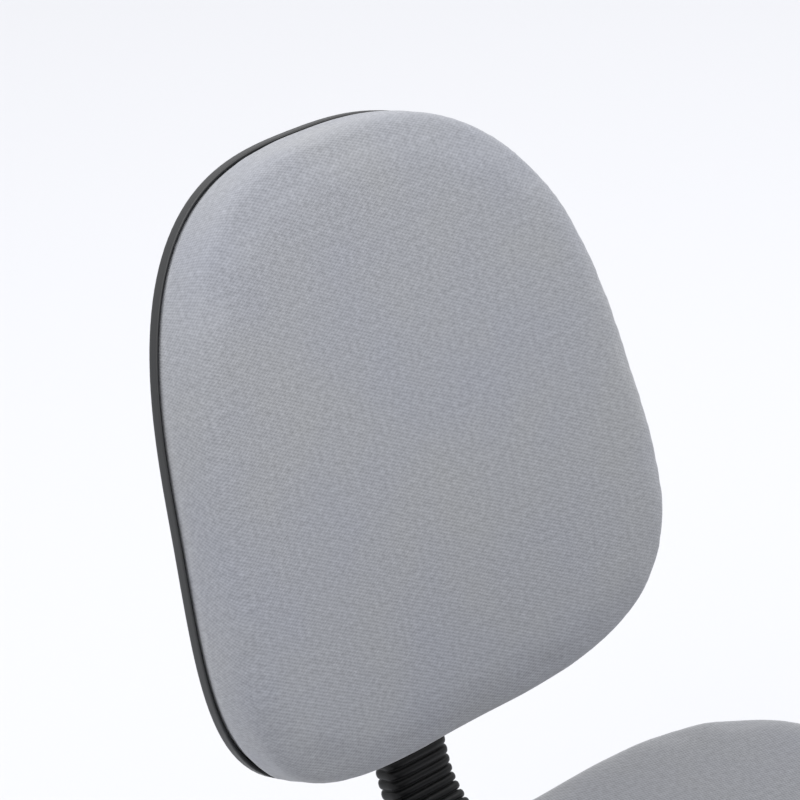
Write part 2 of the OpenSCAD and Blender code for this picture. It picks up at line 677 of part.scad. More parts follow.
cushion_top = seat_top - cover_t;
cushion_crown = 4.5;
cushion_side = [
  [6, pan_top + 10], [1.5, pan_top + 16], [1.5, cushion_top - 20],
  [5, cushion_top - 11], [14, cushion_top - cushion_crown]
];
module seat_foam() color(foam_colour) at_column() skin(concat(
  [seat_ring(12, pan_top), seat_ring(12, pan_top + 9)],
  [for (c = cushion_side) seat_ring(c[0], c[1])],
  [for (f = inner_factors) seat_ring(14, cushion_top - cushion_crown * f * f, f)]
), flip=true);
module seat_cover() color(fabric) at_column() skin(concat(
  [for (f = [0.25, 0.5, 0.75]) seat_ring(14, cushion_top - cushion_crown * f * f, f)],
  [for (k = [4:-1:0]) seat_ring(cushion_side[k][0], cushion_side[k][1])],
  [for (k = [0:4]) seat_ring(cushion_side[k][0] - cover_t, cushion_side[k][1] + cover_t * max(k - 2, 0) / 2)],
  [for (f = inner_factors) seat_ring(14 - cover_t, cushion_top + cover_t - cushion_crown * f * f, f)]
));
module insert_places() for (sx = [-1, 1], y = arm_hole_y) translate([sx * arm_hole_x, y, 0]) children();

module seat_pan() color(plywood) at_column() difference() {
  translate([0, 0, pan_low]) linear_extrude(pan_t) polygon(seat_outline(pan_inset));
  bolt_places() translate([0, 0, pan_low - 1]) cylinder(r=insert_r + 0.02, h=pan_t + 2);
  insert_places() translate([0, 0, pan_low - 1]) cylinder(r=insert_r + 0.02, h=pan_t + 2);
  bolt_places() translate([0, 0, pan_top - 1.6]) cylinder(r=10.1, h=3);
  insert_places() translate([0, 0, pan_top - 1.6]) cylinder(r=10.1, h=3);
}
module tee_nut() translate([0, 0, pan_low]) {
  tube(insert_r, bolt_r + run_gap, pan_t - 1.5);
  translate([0, 0, pan_t - 1.5]) tube(10, bolt_r + run_gap, 1.5);
}
module seat_tee_nuts() color(steel) at_column() bolt_places() tee_nut();
module armrest_inserts() color(steel) at_column() insert_places() tee_nut();
module seat_bolts() color(steel) at_column() bolt_places() {
  translate([0, 0, plate_low]) cylinder(r=bolt_r, h=17);
  translate([0, 0, plate_low - 6]) cylinder(r=7, h=5.95, $fn=6);
  translate([0, 0, plate_low - 3]) cylinder(r=bolt_r, h=4);
}
module seat_shell() color(charcoal) at_column() difference() {
  skin([
    for (f = [0.3, 0.7]) seat_ring(44, plate_top, f),
    seat_ring(44, plate_top), seat_ring(20, plate_top),
    seat_ring(13, plate_top + 1.5), seat_ring(8, pan_low + 5),
    seat_ring(4, pan_top + 2), seat_ring(4, pan_top + 8),
    seat_ring(4 + shell_t, pan_top + 8), seat_ring(4 + shell_t, pan_top + 2),
    seat_ring(8 + shell_t, pan_low + 6), seat_ring(pan_inset - 2, pan_low),
    for (f = [1, 0.7, 0.3]) seat_ring(44, pan_low, f)
  ]);
  bolt_places() translate([0, 0, plate_top - 1]) cylinder(r=bolt_r + 0.3, h=shell_t + 2);
  insert_places() translate([0, 0, plate_top - 1]) cylinder(r=bolt_r + 0.3, h=shell_t + 2);
}

base_star();
castor_stems();
for (i = [0:arms - 1]) {
  castor_hood(i);
  castor_axle(i);
  castor_wheel(i, 1);
  castor_wheel(i, -1);
}
column_tube();
guide_bush();
thrust_bearing();
retaining_clip();
piston_rod();
rod_buffer();
pressure_cylinder();
release_pin();
dust_cover_lower();
dust_cover_middle();
dust_cover_upper();
mechanism_body();
back_rocker();
pivot_pin();
recline_spring();
lock_lever();
lock_paddle();
height_lever();
height_paddle();
back_upright();
upright_bolts();
upright_bellows();
back_slide_guide();
clamp_plate();
clamp_stud();
clamp_knob();
guide_screws();
back_panel();
back_foam();
back_cover();
back_shell();
seat_pan();
seat_foam();
seat_cover();
seat_shell();
seat_bolts();
seat_tee_nuts();
armrest_inserts();
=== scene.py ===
"""Looks of a castored swivel chair for a desk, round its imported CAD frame. Metres, sitter facing -Y."""

import json
import math

import bmesh
import bpy
import numpy as np
from mathutils import Matrix, Vector

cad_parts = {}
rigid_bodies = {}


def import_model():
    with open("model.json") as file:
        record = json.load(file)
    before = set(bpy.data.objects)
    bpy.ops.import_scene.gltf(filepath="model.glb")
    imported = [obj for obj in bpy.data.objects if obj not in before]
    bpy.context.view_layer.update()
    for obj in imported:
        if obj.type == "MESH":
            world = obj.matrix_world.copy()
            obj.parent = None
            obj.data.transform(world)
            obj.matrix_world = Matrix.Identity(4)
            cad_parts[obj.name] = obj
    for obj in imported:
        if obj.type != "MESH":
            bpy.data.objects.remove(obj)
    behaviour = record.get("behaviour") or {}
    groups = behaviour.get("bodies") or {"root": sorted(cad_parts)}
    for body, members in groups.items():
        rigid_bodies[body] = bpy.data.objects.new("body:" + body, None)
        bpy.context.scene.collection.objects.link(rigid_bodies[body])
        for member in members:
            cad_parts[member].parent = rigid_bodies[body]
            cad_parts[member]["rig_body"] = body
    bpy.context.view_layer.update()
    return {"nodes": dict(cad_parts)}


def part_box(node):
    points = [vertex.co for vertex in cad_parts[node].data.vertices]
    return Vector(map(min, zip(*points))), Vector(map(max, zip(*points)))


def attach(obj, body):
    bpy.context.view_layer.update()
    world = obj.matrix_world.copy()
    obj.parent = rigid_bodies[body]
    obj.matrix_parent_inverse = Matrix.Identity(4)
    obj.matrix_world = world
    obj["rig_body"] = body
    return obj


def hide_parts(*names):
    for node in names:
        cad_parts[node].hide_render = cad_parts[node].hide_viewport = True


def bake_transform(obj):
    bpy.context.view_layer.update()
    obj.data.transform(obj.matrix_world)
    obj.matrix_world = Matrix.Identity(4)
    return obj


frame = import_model()
nodes = frame["nodes"]
scene = bpy.context.scene


# ---------------------------------------------------------------- camera, light and floor
# The camera stands at the chair's front left, well above it, and looks down on the front of
# the backrest through a long lens, which leaves most of the seat below the picture.
def polar(azimuth, elevation):
    """Unit vector from the chair towards a place around it; azimuth 0 is straight in front."""
    a, e = math.radians(azimuth), math.radians(elevation)
    return Vector((math.sin(a) * math.cos(e), -math.cos(a) * math.cos(e), math.sin(e)))


aim = Vector((0.0159, 0.3020, 0.7736))
camera_data = bpy.data.cameras.new("camera")
camera_data.lens = 166.6
camera_data.sensor_width = 36
camera = bpy.data.objects.new("camera", camera_data)
scene.collection.objects.link(camera)
towards_camera = polar(-43.07, 28.88)
camera.location = aim + 2.94 * towards_camera
level_look = towards_camera.to_track_quat("Z", "Y")
camera.rotation_euler = (level_look.to_matrix() @ Matrix.Rotation(math.radians(-0.26), 3, "Z")).to_euler()
scene.camera = camera


def soft_light(name, azimuth, elevation, distance, size, power):
    """A square soft box that faces the chair."""
    data = bpy.data.lights.new(name, "AREA")
    data.shape = "SQUARE"
    data.size = size
    data.energy = power
    light = bpy.data.objects.new(name, data)
    scene.collection.objects.link(light)
    direction = polar(azimuth, elevation)
    light.location = aim + distance * direction
    light.rotation_euler = direction.to_track_quat("Z", "Y").to_euler()


soft_light("overhead_light", 180, 85, 5.0, 3.6, 150)
soft_light("left_light", -78, 42, 5.0, 2.6, 50)
soft_light("right_light", 66, 38, 5.0, 2.6, 40)

world = bpy.data.worlds.new("studio")
scene.world = world
world.use_nodes = True
world.node_tree.nodes["Background"].inputs["Color"].default_value = (0.97, 0.975, 1.0, 1)
world.node_tree.nodes["Background"].inputs["Strength"].default_value = 0.96
scene.view_settings.view_transform = "Standard"

floor_mesh = bpy.data.meshes.new("floor")
floor_half = 30
floor_mesh.from_pydata(
    [(x * floor_half, y * floor_half, 0) for x, y in ((-1, -1), (1, -1), (1, 1), (-1, 1))], [], [(0, 1, 2, 3)]
)
floor = bpy.data.objects.new("floor", floor_mesh)
scene.collection.objects.link(floor)
floor_paint = bpy.data.materials.new("floor_paint")
floor_paint.use_nodes = True
floor_paint.node_tree.nodes["Principled BSDF"].inputs["Base Color"].default_value = (0.655, 0.66, 0.68, 1)
floor_paint.node_tree.nodes["Principled BSDF"].inputs["Roughness"].default_value = 0.8
floor_mesh.materials.append(floor_paint)


# ---------------------------------------------------------------- base star
# One glass-filled nylon moulding: a hub with a tapered bore and five hollow arms that end in
# the castor sockets. Its skin is a fine spark-eroded grain, paler along the edges, part wear and part painted
# highlight.
def add_node(tree, kind, inputs=None, **settings):
    """One node of a tree. inputs holds values, or sockets that are linked from."""
    made = tree.nodes.new(kind)
    for name, value in settings.items():
        setattr(made, name, value)
    for name, value in (inputs or {}).items():
        if isinstance(value, bpy.types.NodeSocket):
            tree.links.new(value, made.inputs[name])
        else:
            made.inputs[name].default_value = value
    return made


def calc(tree, operation, a, b=0.0, c=0.0, clamp=False):
    """Output of a Math node; shader and geometry trees share the node."""
    made = add_node(tree, "ShaderNodeMath", {0: a, 1: b, 2: c}, operation=operation, use_clamp=clamp)
    return made.outputs[0]


def effect_group(name, inputs, outputs):
    """An empty shader node group with named sockets: its tree, its input node and its output node."""
    tree = bpy.data.node_groups.new(name, "ShaderNodeTree")
    for label, kind, default in inputs:
        socket = tree.interface.new_socket(label, in_out="INPUT", socket_type=kind)
        if default is not None:
            socket.default_value = default
    for label, kind in outputs:
        tree.interface.new_socket(label, in_out="OUTPUT", socket_type=kind)
    return tree, tree.nodes.new("NodeGroupInput").outputs, tree.nodes.new("NodeGroupOutput")


def moulded_grain_group():
    """The pebbled skin that an etched tool leaves, with a slow drift of its gloss."""
    tree, given, result = effect_group(
        "moulded_grain",
        [("Vector", "NodeSocketVector", None), ("Pebbles per Metre", "NodeSocketFloat", 1400.0)],
        [("Height", "NodeSocketFloat"), ("Drift", "NodeSocketFloat")],
    )
    pebbles = add_node(
        tree, "ShaderNodeTexVoronoi", {"Vector": given["Vector"], "Scale": given["Pebbles per Metre"]},
        feature="SMOOTH_F1"
    )
    fine = add_node(
        tree,
        "ShaderNodeTexNoise",
        {
            "Vector": given["Vector"], "Scale": calc(tree, "MULTIPLY", given["Pebbles per Metre"], 1.7),
            "Detail": 3.0,
        },
    )
    height = calc(tree, "MULTIPLY_ADD", fine.outputs[0], 0.5, pebbles.outputs["Distance"])
    tree.links.new(height, result.inputs["Height"])
    drift = add_node(tree, "ShaderNodeTexNoise", {"Vector": given["Vector"], "Scale": 14.0, "Detail": 4.0})
    tree.links.new(drift.outputs[0], result.inputs["Drift"])
    return tree


def edge_wear_and_highlight_group():
    """Where a piece's corners show wear and take a painted highlight: 1 on the outer edges, broken up by a
    noise.
    """
    tree, given, result = effect_group(
        "edge_wear_and_highlight",
        [
            ("Vector", "NodeSocketVector", None), ("Reach", "NodeSocketFloat", 0.0012),
            ("Amount", "NodeSocketFloat", 0.5),
        ],
        [("Mask", "NodeSocketFloat")],
    )
    rounded = add_node(tree, "ShaderNodeBevel", {"Radius": given["Reach"]}, samples=4)
    flat = add_node(tree, "ShaderNodeNewGeometry")
    likeness = add_node(
        tree, "ShaderNodeVectorMath", {0: rounded.outputs[0], 1: flat.outputs["Normal"]},
        operation="DOT_PRODUCT"
    )
    edge = calc(tree, "MULTIPLY", calc(tree, "SUBTRACT", 1.0, likeness.outputs["Value"]), 9.0, clamp=True)
    patches = add_node(tree, "ShaderNodeTexNoise", {"Vector": given["Vector"], "Scale": 55.0, "Detail": 5.0})
    broken = calc(
        tree, "MULTIPLY", edge, calc(tree, "MULTIPLY_ADD", patches.outputs[0], 3.0, -1.0, clamp=True)
    )
    tree.links.new(calc(tree, "MULTIPLY", broken, given["Amount"]), result.inputs["Mask"])
    return tree


def dust_group():
    """Dust that settles on whatever faces up, thicker in slow patches."""
    tree, given, result = effect_group(
        "settled_dust",
        [("Vector", "NodeSocketVector", None), ("Amount", "NodeSocketFloat", 0.1)],
        [("Mask", "NodeSocketFloat")],
    )
    facing = add_node(
        tree, "ShaderNodeSeparateXYZ", {0: add_node(tree, "ShaderNodeNewGeometry").outputs["Normal"]}
    )
    up = calc(tree, "POWER", calc(tree, "MAXIMUM", facing.outputs["Z"], 0.0), 2.0)
    patches = add_node(tree, "ShaderNodeTexNoise", {"Vector": given["Vector"], "Scale": 22.0, "Detail": 6.0})
    tree.links.new(
        calc(tree, "MULTIPLY", calc(tree, "MULTIPLY", up, patches.outputs[0]), given["Amount"]),
        result.inputs["Mask"]
    )
    return tree


moulded_grain = moulded_grain_group()
edge_wear_and_highlight = edge_wear_and_highlight_group()
settled_dust = dust_group()


def new_material(name, roughness, metallic=0.0, coat=0.0, sheen=0.0):
    """A material with its shader's constant values set: the material, its tree and its shader."""
    material = bpy.data.materials.new(name)
    material.use_nodes = True
    shader = material.node_tree.nodes["Principled BSDF"]
    shader.inputs["Roughness"].default_value = roughness
    shader.inputs["Metallic"].default_value = metallic
    shader.inputs["Coat Weight"].default_value = coat
    shader.inputs["Sheen Weight"].default_value = sheen
    return material, material.node_tree, shader


def place_group(tree, group, **inputs):
    """A node group placed in a material; spaces in socket names are written as underscores."""
    made = tree.nodes.new("ShaderNodeGroup")
    made.node_tree = group
    for name, value in inputs.items():
        socket = made.inputs[name.replace("_", " ")]
        if isinstance(value, bpy.types.NodeSocket):
            tree.links.new(value, socket)
        else:
            socket.default_value = value
    return made.outputs


def tint(tree, share, a, b):
    """Mix of two colours, each a colour or a socket."""
    made = tree.nodes.new("ShaderNodeMix")
    made.data_type = "RGBA"
    for socket, value in ((made.inputs[0], share), (made.inputs[6], a), (made.inputs[7], b)):
        if isinstance(value, bpy.types.NodeSocket):
            tree.links.new(value, socket)
        else:
            socket.default_value = value
    return made.outputs[2]


def grey(value, warmth=0.0):
    """A colour of one lightness, with a little more red and less blue as its warmth rises."""
    return (value * (1 + warmth), value, value * (1 - warmth), 1)


def moulded_plastic(name, colour, roughness, pebbles=1400.0, depth=0.00006, rub_and_highlight=0.5, dust=0.1):
    """Moulded plastic: a pebbled skin, edges made paler and smoother, part wear and part painted highlight,
    and dust on what faces up.
    """
    material, tree, shader = new_material(name, roughness)
    place = add_node(tree, "ShaderNodeTexCoord").outputs["Object"]
    grain = place_group(tree, moulded_grain, Vector=place, Pebbles_per_Metre=pebbles)
    worn_and_highlit = place_group(tree, edge_wear_and_highlight, Vector=place, Amount=rub_and_highlight)["Mask"]
    dusty = place_group(tree, settled_dust, Vector=place, Amount=dust)["Mask"]
    darker = tuple(c * 0.82 for c in colour[:3]) + (1,)
    skin_colour = tint(tree, grain["Drift"], darker, colour)
    # Corners painted paler along the edge mask: part wear, part painted highlight.
    worn_and_highlit_skin = tint(tree, worn_and_highlit, skin_colour, tuple(min(1, c * 1.9 + 0.012) for c in colour[:3]) + (1,))
    tree.links.new(tint(tree, dusty, worn_and_highlit_skin, grey(0.42, 0.04)), shader.inputs["Base Color"])
    gloss = calc(tree, "MULTIPLY_ADD", grain["Drift"], 0.16, roughness - 0.08)
    gloss = calc(tree, "SUBTRACT", gloss, calc(tree, "MULTIPLY", worn_and_highlit, 0.2))
    tree.links.new(calc(tree, "ADD", gloss, dusty, clamp=True), shader.inputs["Roughness"])
    bump = add_node(tree, "ShaderNodeBump", {"Height": grain["Height"], "Distance": depth, "Strength": 0.8})
    tree.links.new(bump.outputs[0], shader.inputs["Normal"])
    return material


def soften(node, edge, material, suffix="moulding", segments=3):
    """A finished copy of a hard CAD piece: its triangles merged, flats joined and edges rounded."""
    mesh = nodes[node].data.copy()
    shape = bmesh.new()
    shape.from_mesh(mesh)
    bmesh.ops.remove_doubles(shape, verts=shape.verts, dist=2e-6)
    bmesh.ops.dissolve_limit(
        shape, angle_limit=math.radians(0.6), use_dissolve_boundaries=False, verts=shape.verts,
        edges=shape.edges
    )
    for face in shape.faces:
        face.smooth = True
    shape.to_mesh(mesh)
    shape.free()
    mesh.materials.clear()
    mesh.materials.append(material)
    piece = bpy.data.objects.new(node + "_" + suffix, mesh)
    scene.collection.objects.link(piece)
    bevel = piece.modifiers.new("broken_edges", "BEVEL")
    bevel.width = edge
    bevel.segments = segments
    bevel.limit_method = "ANGLE"
    bevel.angle_limit = math.radians(34)
    bevel.harden_normals = True
    bevel.use_clamp_overlap = True
    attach(piece, nodes[node]["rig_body"])
    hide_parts(node)
    return piece


def coat_node(node, material):
    """A CAD piece that keeps its own shape and takes a material."""
    mesh = nodes[node].data
    mesh.materials.clear()
    mesh.materials.append(material)


base_nylon = moulded_plastic("base_nylon", grey(0.022), 0.5, rub_and_highlight=0.6, dust=0.16)
soften("base_star", 0.0022, base_nylon)


# ---------------------------------------------------------------- castors
# Twin-wheel castors: a nylon hood on a zinc-plated stem, an axle pressed through it, and a
# nylon wheel each side with a smooth tread. The wheels have picked up dust from the floor.
castor_nylon = moulded_plastic("castor_nylon", grey(0.02), 0.42, rub_and_highlight=0.5, dust=0.12)


def tread_material():
    """Wheel nylon, scuffed grey where the tread rolls, which is where it faces away from the axle, and paler
    on its edges, part wear and part painted highlight.
    """
    material, tree, shader = new_material("wheel_nylon", 0.45)
    place = add_node(tree, "ShaderNodeTexCoord").outputs["Object"]
    grain = place_group(tree, moulded_grain, Vector=place, Pebbles_per_Metre=1000.0)
    scuffs = add_node(
        tree, "ShaderNodeTexNoise", {"Vector": place, "Scale": 160.0, "Detail": 8.0, "Roughness": 0.7}
    )
    worn_and_highlit = place_group(tree, edge_wear_and_highlight, Vector=place, Reach=0.002, Amount=0.7)["Mask"]
    # The edge mask lightens the wheel's edges too: part wear, part painted highlight.
    share = calc(tree, "MULTIPLY_ADD", scuffs.outputs[0], 0.5, calc(tree, "SUBTRACT", worn_and_highlit, 0.14), clamp=True)
    tree.links.new(tint(tree, share, grey(0.026), grey(0.13, 0.03)), shader.inputs["Base Color"])
    tree.links.new(calc(tree, "MULTIPLY_ADD", grain["Drift"], 0.3, 0.32), shader.inputs["Roughness"])
    bump = add_node(
        tree, "ShaderNodeBump", {"Height": scuffs.outputs[0], "Distance": 0.0001, "Strength": 0.6}
    )
    tree.links.new(bump.outputs[0], shader.inputs["Normal"])
    return material


def metal(name, colour, roughness, brushed=0.0, flecks=0.0):
    """Bare or plated steel: a slow drift of its gloss, fine drawn lines and small flecks."""
    material, tree, shader = new_material(name, roughness, metallic=1.0)
    place = add_node(tree, "ShaderNodeTexCoord").outputs["Object"]
    stretched = add_node(tree, "ShaderNodeMapping", {"Vector": place, "Scale": (30.0, 30.0, 900.0)})
    lines = add_node(
        tree, "ShaderNodeTexNoise", {"Vector": stretched.outputs[0], "Scale": 1.0, "Detail": 3.0}
    )
    drift = add_node(tree, "ShaderNodeTexNoise", {"Vector": place, "Scale": 45.0, "Detail": 5.0})
    stain = calc(tree, "MULTIPLY_ADD", drift.outputs[0], 2.2, -0.75, clamp=True)
    dark = tuple(c * 0.7 for c in colour[:3]) + (1,)
    tree.links.new(
        tint(tree, calc(tree, "MULTIPLY", stain, flecks), colour, dark), shader.inputs["Base Color"]
    )
    gloss = calc(tree, "MULTIPLY_ADD", lines.outputs[0], brushed, roughness - brushed / 2)
    gloss = calc(tree, "MULTIPLY_ADD", drift.outputs[0], 0.15, gloss)
    tree.links.new(gloss, shader.inputs["Roughness"])
    bump = add_node(
        tree, "ShaderNodeBump", {"Height": lines.outputs[0], "Distance": 0.00002, "Strength": 0.5}
    )
    tree.links.new(bump.outputs[0], shader.inputs["Normal"])
    return material


wheel_nylon = tread_material()
zinc_steel = metal("zinc_steel", (0.62, 0.64, 0.67, 1), 0.28, brushed=0.12, flecks=0.5)
for k in range(1, 6):
    soften(f"castor_hood_{k}", 0.0009, castor_nylon)
    for side in ("left", "right"):
        soften(f"castor_wheel_{side}_{k}", 0.0006, wheel_nylon, segments=2)
    coat_node(f"castor_axle_{k}", zinc_steel)
coat_node("castor_stems", zinc_steel)


# ---------------------------------------------------------------- lift column
# A painted standing tube in the hub with the gas cylinder rising from it, hidden by three
# telescopic dust covers. The covers are thin polypropylene sleeves with a satin skin.
def painted_steel(name, colour, roughness):
    """Steel in a black powder coat: an orange-peel skin that shows pale bare metal at its corners, part wear
    and part painted highlight.
    """
    material, tree, shader = new_material(name, roughness, coat=0.15)
    place = add_node(tree, "ShaderNodeTexCoord").outputs["Object"]
    peel = add_node(tree, "ShaderNodeTexNoise", {"Vector": place, "Scale": 420.0, "Detail": 2.0})
    drift = add_node(tree, "ShaderNodeTexNoise", {"Vector": place, "Scale": 18.0, "Detail": 5.0})
    worn_and_highlit = place_group(tree, edge_wear_and_highlight, Vector=place, Reach=0.0008, Amount=0.8)["Mask"]
    dusty = place_group(tree, settled_dust, Vector=place, Amount=0.1)["Mask"]
    paint = tint(tree, drift.outputs[0], tuple(c * 0.8 for c in colour[:3]) + (1,), colour)
    # Pale bare metal along the edge mask: part wear, part painted highlight on the corners.
    bare = tint(tree, worn_and_highlit, paint, grey(0.3, 0.02))
    tree.links.new(tint(tree, dusty, bare, grey(0.4, 0.04)), shader.inputs["Base Color"])
    tree.links.new(calc(tree, "MULTIPLY", worn_and_highlit, 0.8), shader.inputs["Metallic"])
    tree.links.new(
        calc(tree, "MULTIPLY_ADD", drift.outputs[0], 0.18, roughness - 0.09), shader.inputs["Roughness"]
    )
    bump = add_node(tree, "ShaderNodeBump", {"Height": peel.outputs[0], "Distance": 0.00008, "Strength": 0.5})
    tree.links.new(bump.outputs[0], shader.inputs["Normal"])
    return material


black_steel = painted_steel("black_steel", grey(0.018), 0.36)
cover_plastic = moulded_plastic(
    "cover_plastic", grey(0.024), 0.38, pebbles=900.0, depth=0.00003, rub_and_highlight=0.35, dust=0.08
)
bush_plastic = moulded_plastic("bush_plastic", grey(0.05), 0.45)
buffer_rubber = moulded_plastic("buffer_rubber", grey(0.012), 0.75, pebbles=700.0)
spring_steel = metal("spring_steel", (0.26, 0.27, 0.29, 1), 0.34, brushed=0.1, flecks=0.7)
for name in ("dust_cover_lower", "dust_cover_middle", "dust_cover_upper"):
    soften(name, 0.0005, cover_plastic, segments=2)
for name in ("column_tube", "pressure_cylinder"):
    coat_node(name, black_steel)
for name in ("piston_rod", "release_pin", "thrust_bearing"):
    coat_node(name, zinc_steel)
coat_node("guide_bush", bush_plastic)
coat_node("rod_buffer", buffer_rubber)
coat_node("retaining_clip", spring_steel)


# ---------------------------------------------------------------- tilt mechanism and levers
# A pressed steel plate with two cheeks under the seat carries the rocker of the backrest on
# one pin. Two steel rods run out to the sitter's right and end in moulded paddles.
handle_plastic = moulded_plastic("handle_plastic", grey(0.02), 0.46, pebbles=1100.0, depth=0.00009, rub_and_highlight=0.5)
for name, edge in (("mechanism_body", 0.0005), ("back_rocker", 0.0006), ("lock_lever", 0.0008)):
    soften(name, edge, black_steel, segments=2)
for name in ("lock_paddle", "height_paddle"):
    soften(name, 0.0036, handle_plastic, segments=5)
for name in ("pivot_pin", "seat_bolts", "upright_bolts"):
    soften(name, 0.0005, zinc_steel, segments=2)

# The coil sits on the pin: in the chair its first leg turns with the rocker and its last stays at the plate;
# here it is a fixed copy that does not wind up.
coil = bpy.data.objects.new("recline_coil", nodes["recline_spring"].data.copy())
scene.collection.objects.link(coil)
coil.data.materials.clear()
coil.data.materials.append(spring_steel)
for face in coil.data.polygons:
    face.use_smooth = True
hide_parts("recline_spring")
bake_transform(coil)


def lofted(name, rings):
    """A closed skin through rings with equal numbers of points, with a pole at each end."""
    count = len(rings[0])
    points = np.concatenate(rings + [rings[0].mean(0)[None], rings[-1].mean(0)[None]])
    first, last = len(rings) * count, len(rings) * count + 1
    top = (len(rings) - 1) * count
    faces = [
        (j * count + i, j * count + (i + 1) % count, (j + 1) * count + (i + 1) % count, (j + 1) * count + i)
        for j in range(len(rings) - 1)
        for i in range(count)
    ]
    faces += [(first, (i + 1) % count, i) for i in range(count)]
    faces += [(last, top + i, top + (i + 1) % count) for i in range(count)]
    mesh = bpy.data.meshes.new(name)
    mesh.from_pydata(points.tolist(), [], faces)
    outwards(mesh)
    mesh.shade_smooth()
    piece = bpy.data.objects.new(name, mesh)
    scene.collection.objects.link(piece)
    return piece


def outwards(mesh):
    """Turns a closed mesh's faces so that they all point out of it."""
    shape = bmesh.new()
    shape.from_mesh(mesh)
    bmesh.ops.recalc_face_normals(shape, faces=shape.faces)
    shape.to_mesh(mesh)
    shape.free()


lever_low, lever_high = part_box("height_lever")
lever_y = (lever_low.y + lever_high.y) / 2
lever_radius = 0.0035
path = np.array([(0.005, 0.42545), (-0.052, 0.42545), (-0.102, 0.398), (-0.230, 0.398)])
for _ in range(4):
    early, late = path[:-1] * 0.75 + path[1:] * 0.25, path[:-1] * 0.25 + path[1:] * 0.75
    path = np.concatenate([path[:1], np.stack([early, late], axis=1).reshape(-1, 2)[1:-1], path[-1:]])
run = np.gradient(path, axis=0)
run /= np.linalg.norm(run, axis=1, keepdims=True)
turns = np.linspace(0, 2 * math.pi, 24, endpoint=False)


def rod_ring(k, radius, shift=0.0):
    """A ring round the lever's middle line at its k-th place, moved along the line by a shift."""
    x, z = path[k] + shift * run[k]
    wave = radius * np.cos(turns)
    return np.stack([x - wave * run[k][1], lever_y + radius * np.sin(turns), z + wave * run[k][0]], axis=-1)


lever = lofted(
    "height_lever_rod",
    [rod_ring(0, lever_radius - 0.0006), rod_ring(0, lever_radius, 0.0006)]
    + [rod_ring(k, lever_radius) for k in range(1, len(path) - 1)]
    + [rod_ring(-1, lever_radius, -0.0006), rod_ring(-1, lever_radius - 0.0006)],
)
lever.data.materials.append(black_steel)
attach(lever, "height_lever")
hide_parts("height_lever")


# ---------------------------------------------------------------- upright and its bellows
# A flat black bar runs back from the rocker, bends upwards and carries the backrest. Soft
# black bellows hide the bend, built once as a fixed mesh along the bar.
column_low, column_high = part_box("column_tube")
chair_axis_y = (column_low.y + column_high.y) / 2
back_tilt = math.radians(18)
bar_z = 0.394
bar_back = 0.065
back_centre = Vector((0, chair_axis_y + 0.386, 0.750))
back_up = Vector((0, math.sin(back_tilt), math.cos(back_tilt)))
back_out = Vector((0, -math.cos(back_tilt), math.sin(back_tilt)))
bend_start = -0.303
bend_low = back_centre + bend_start * back_up - bar_back * back_out
bend_radius = (bend_low.z - bar_z) / (1 - math.sin(back_tilt))
bend_angle = math.pi / 2 - back_tilt
level_end = bend_low.y - bend_radius * math.cos(back_tilt)
bellows_start = chair_axis_y + 0.235
bellows_level = level_end - bellows_start
bellows_in_back = 0.072
rib_pitch = 0.009

soften("back_upright", 0.0008, black_steel, segments=3)


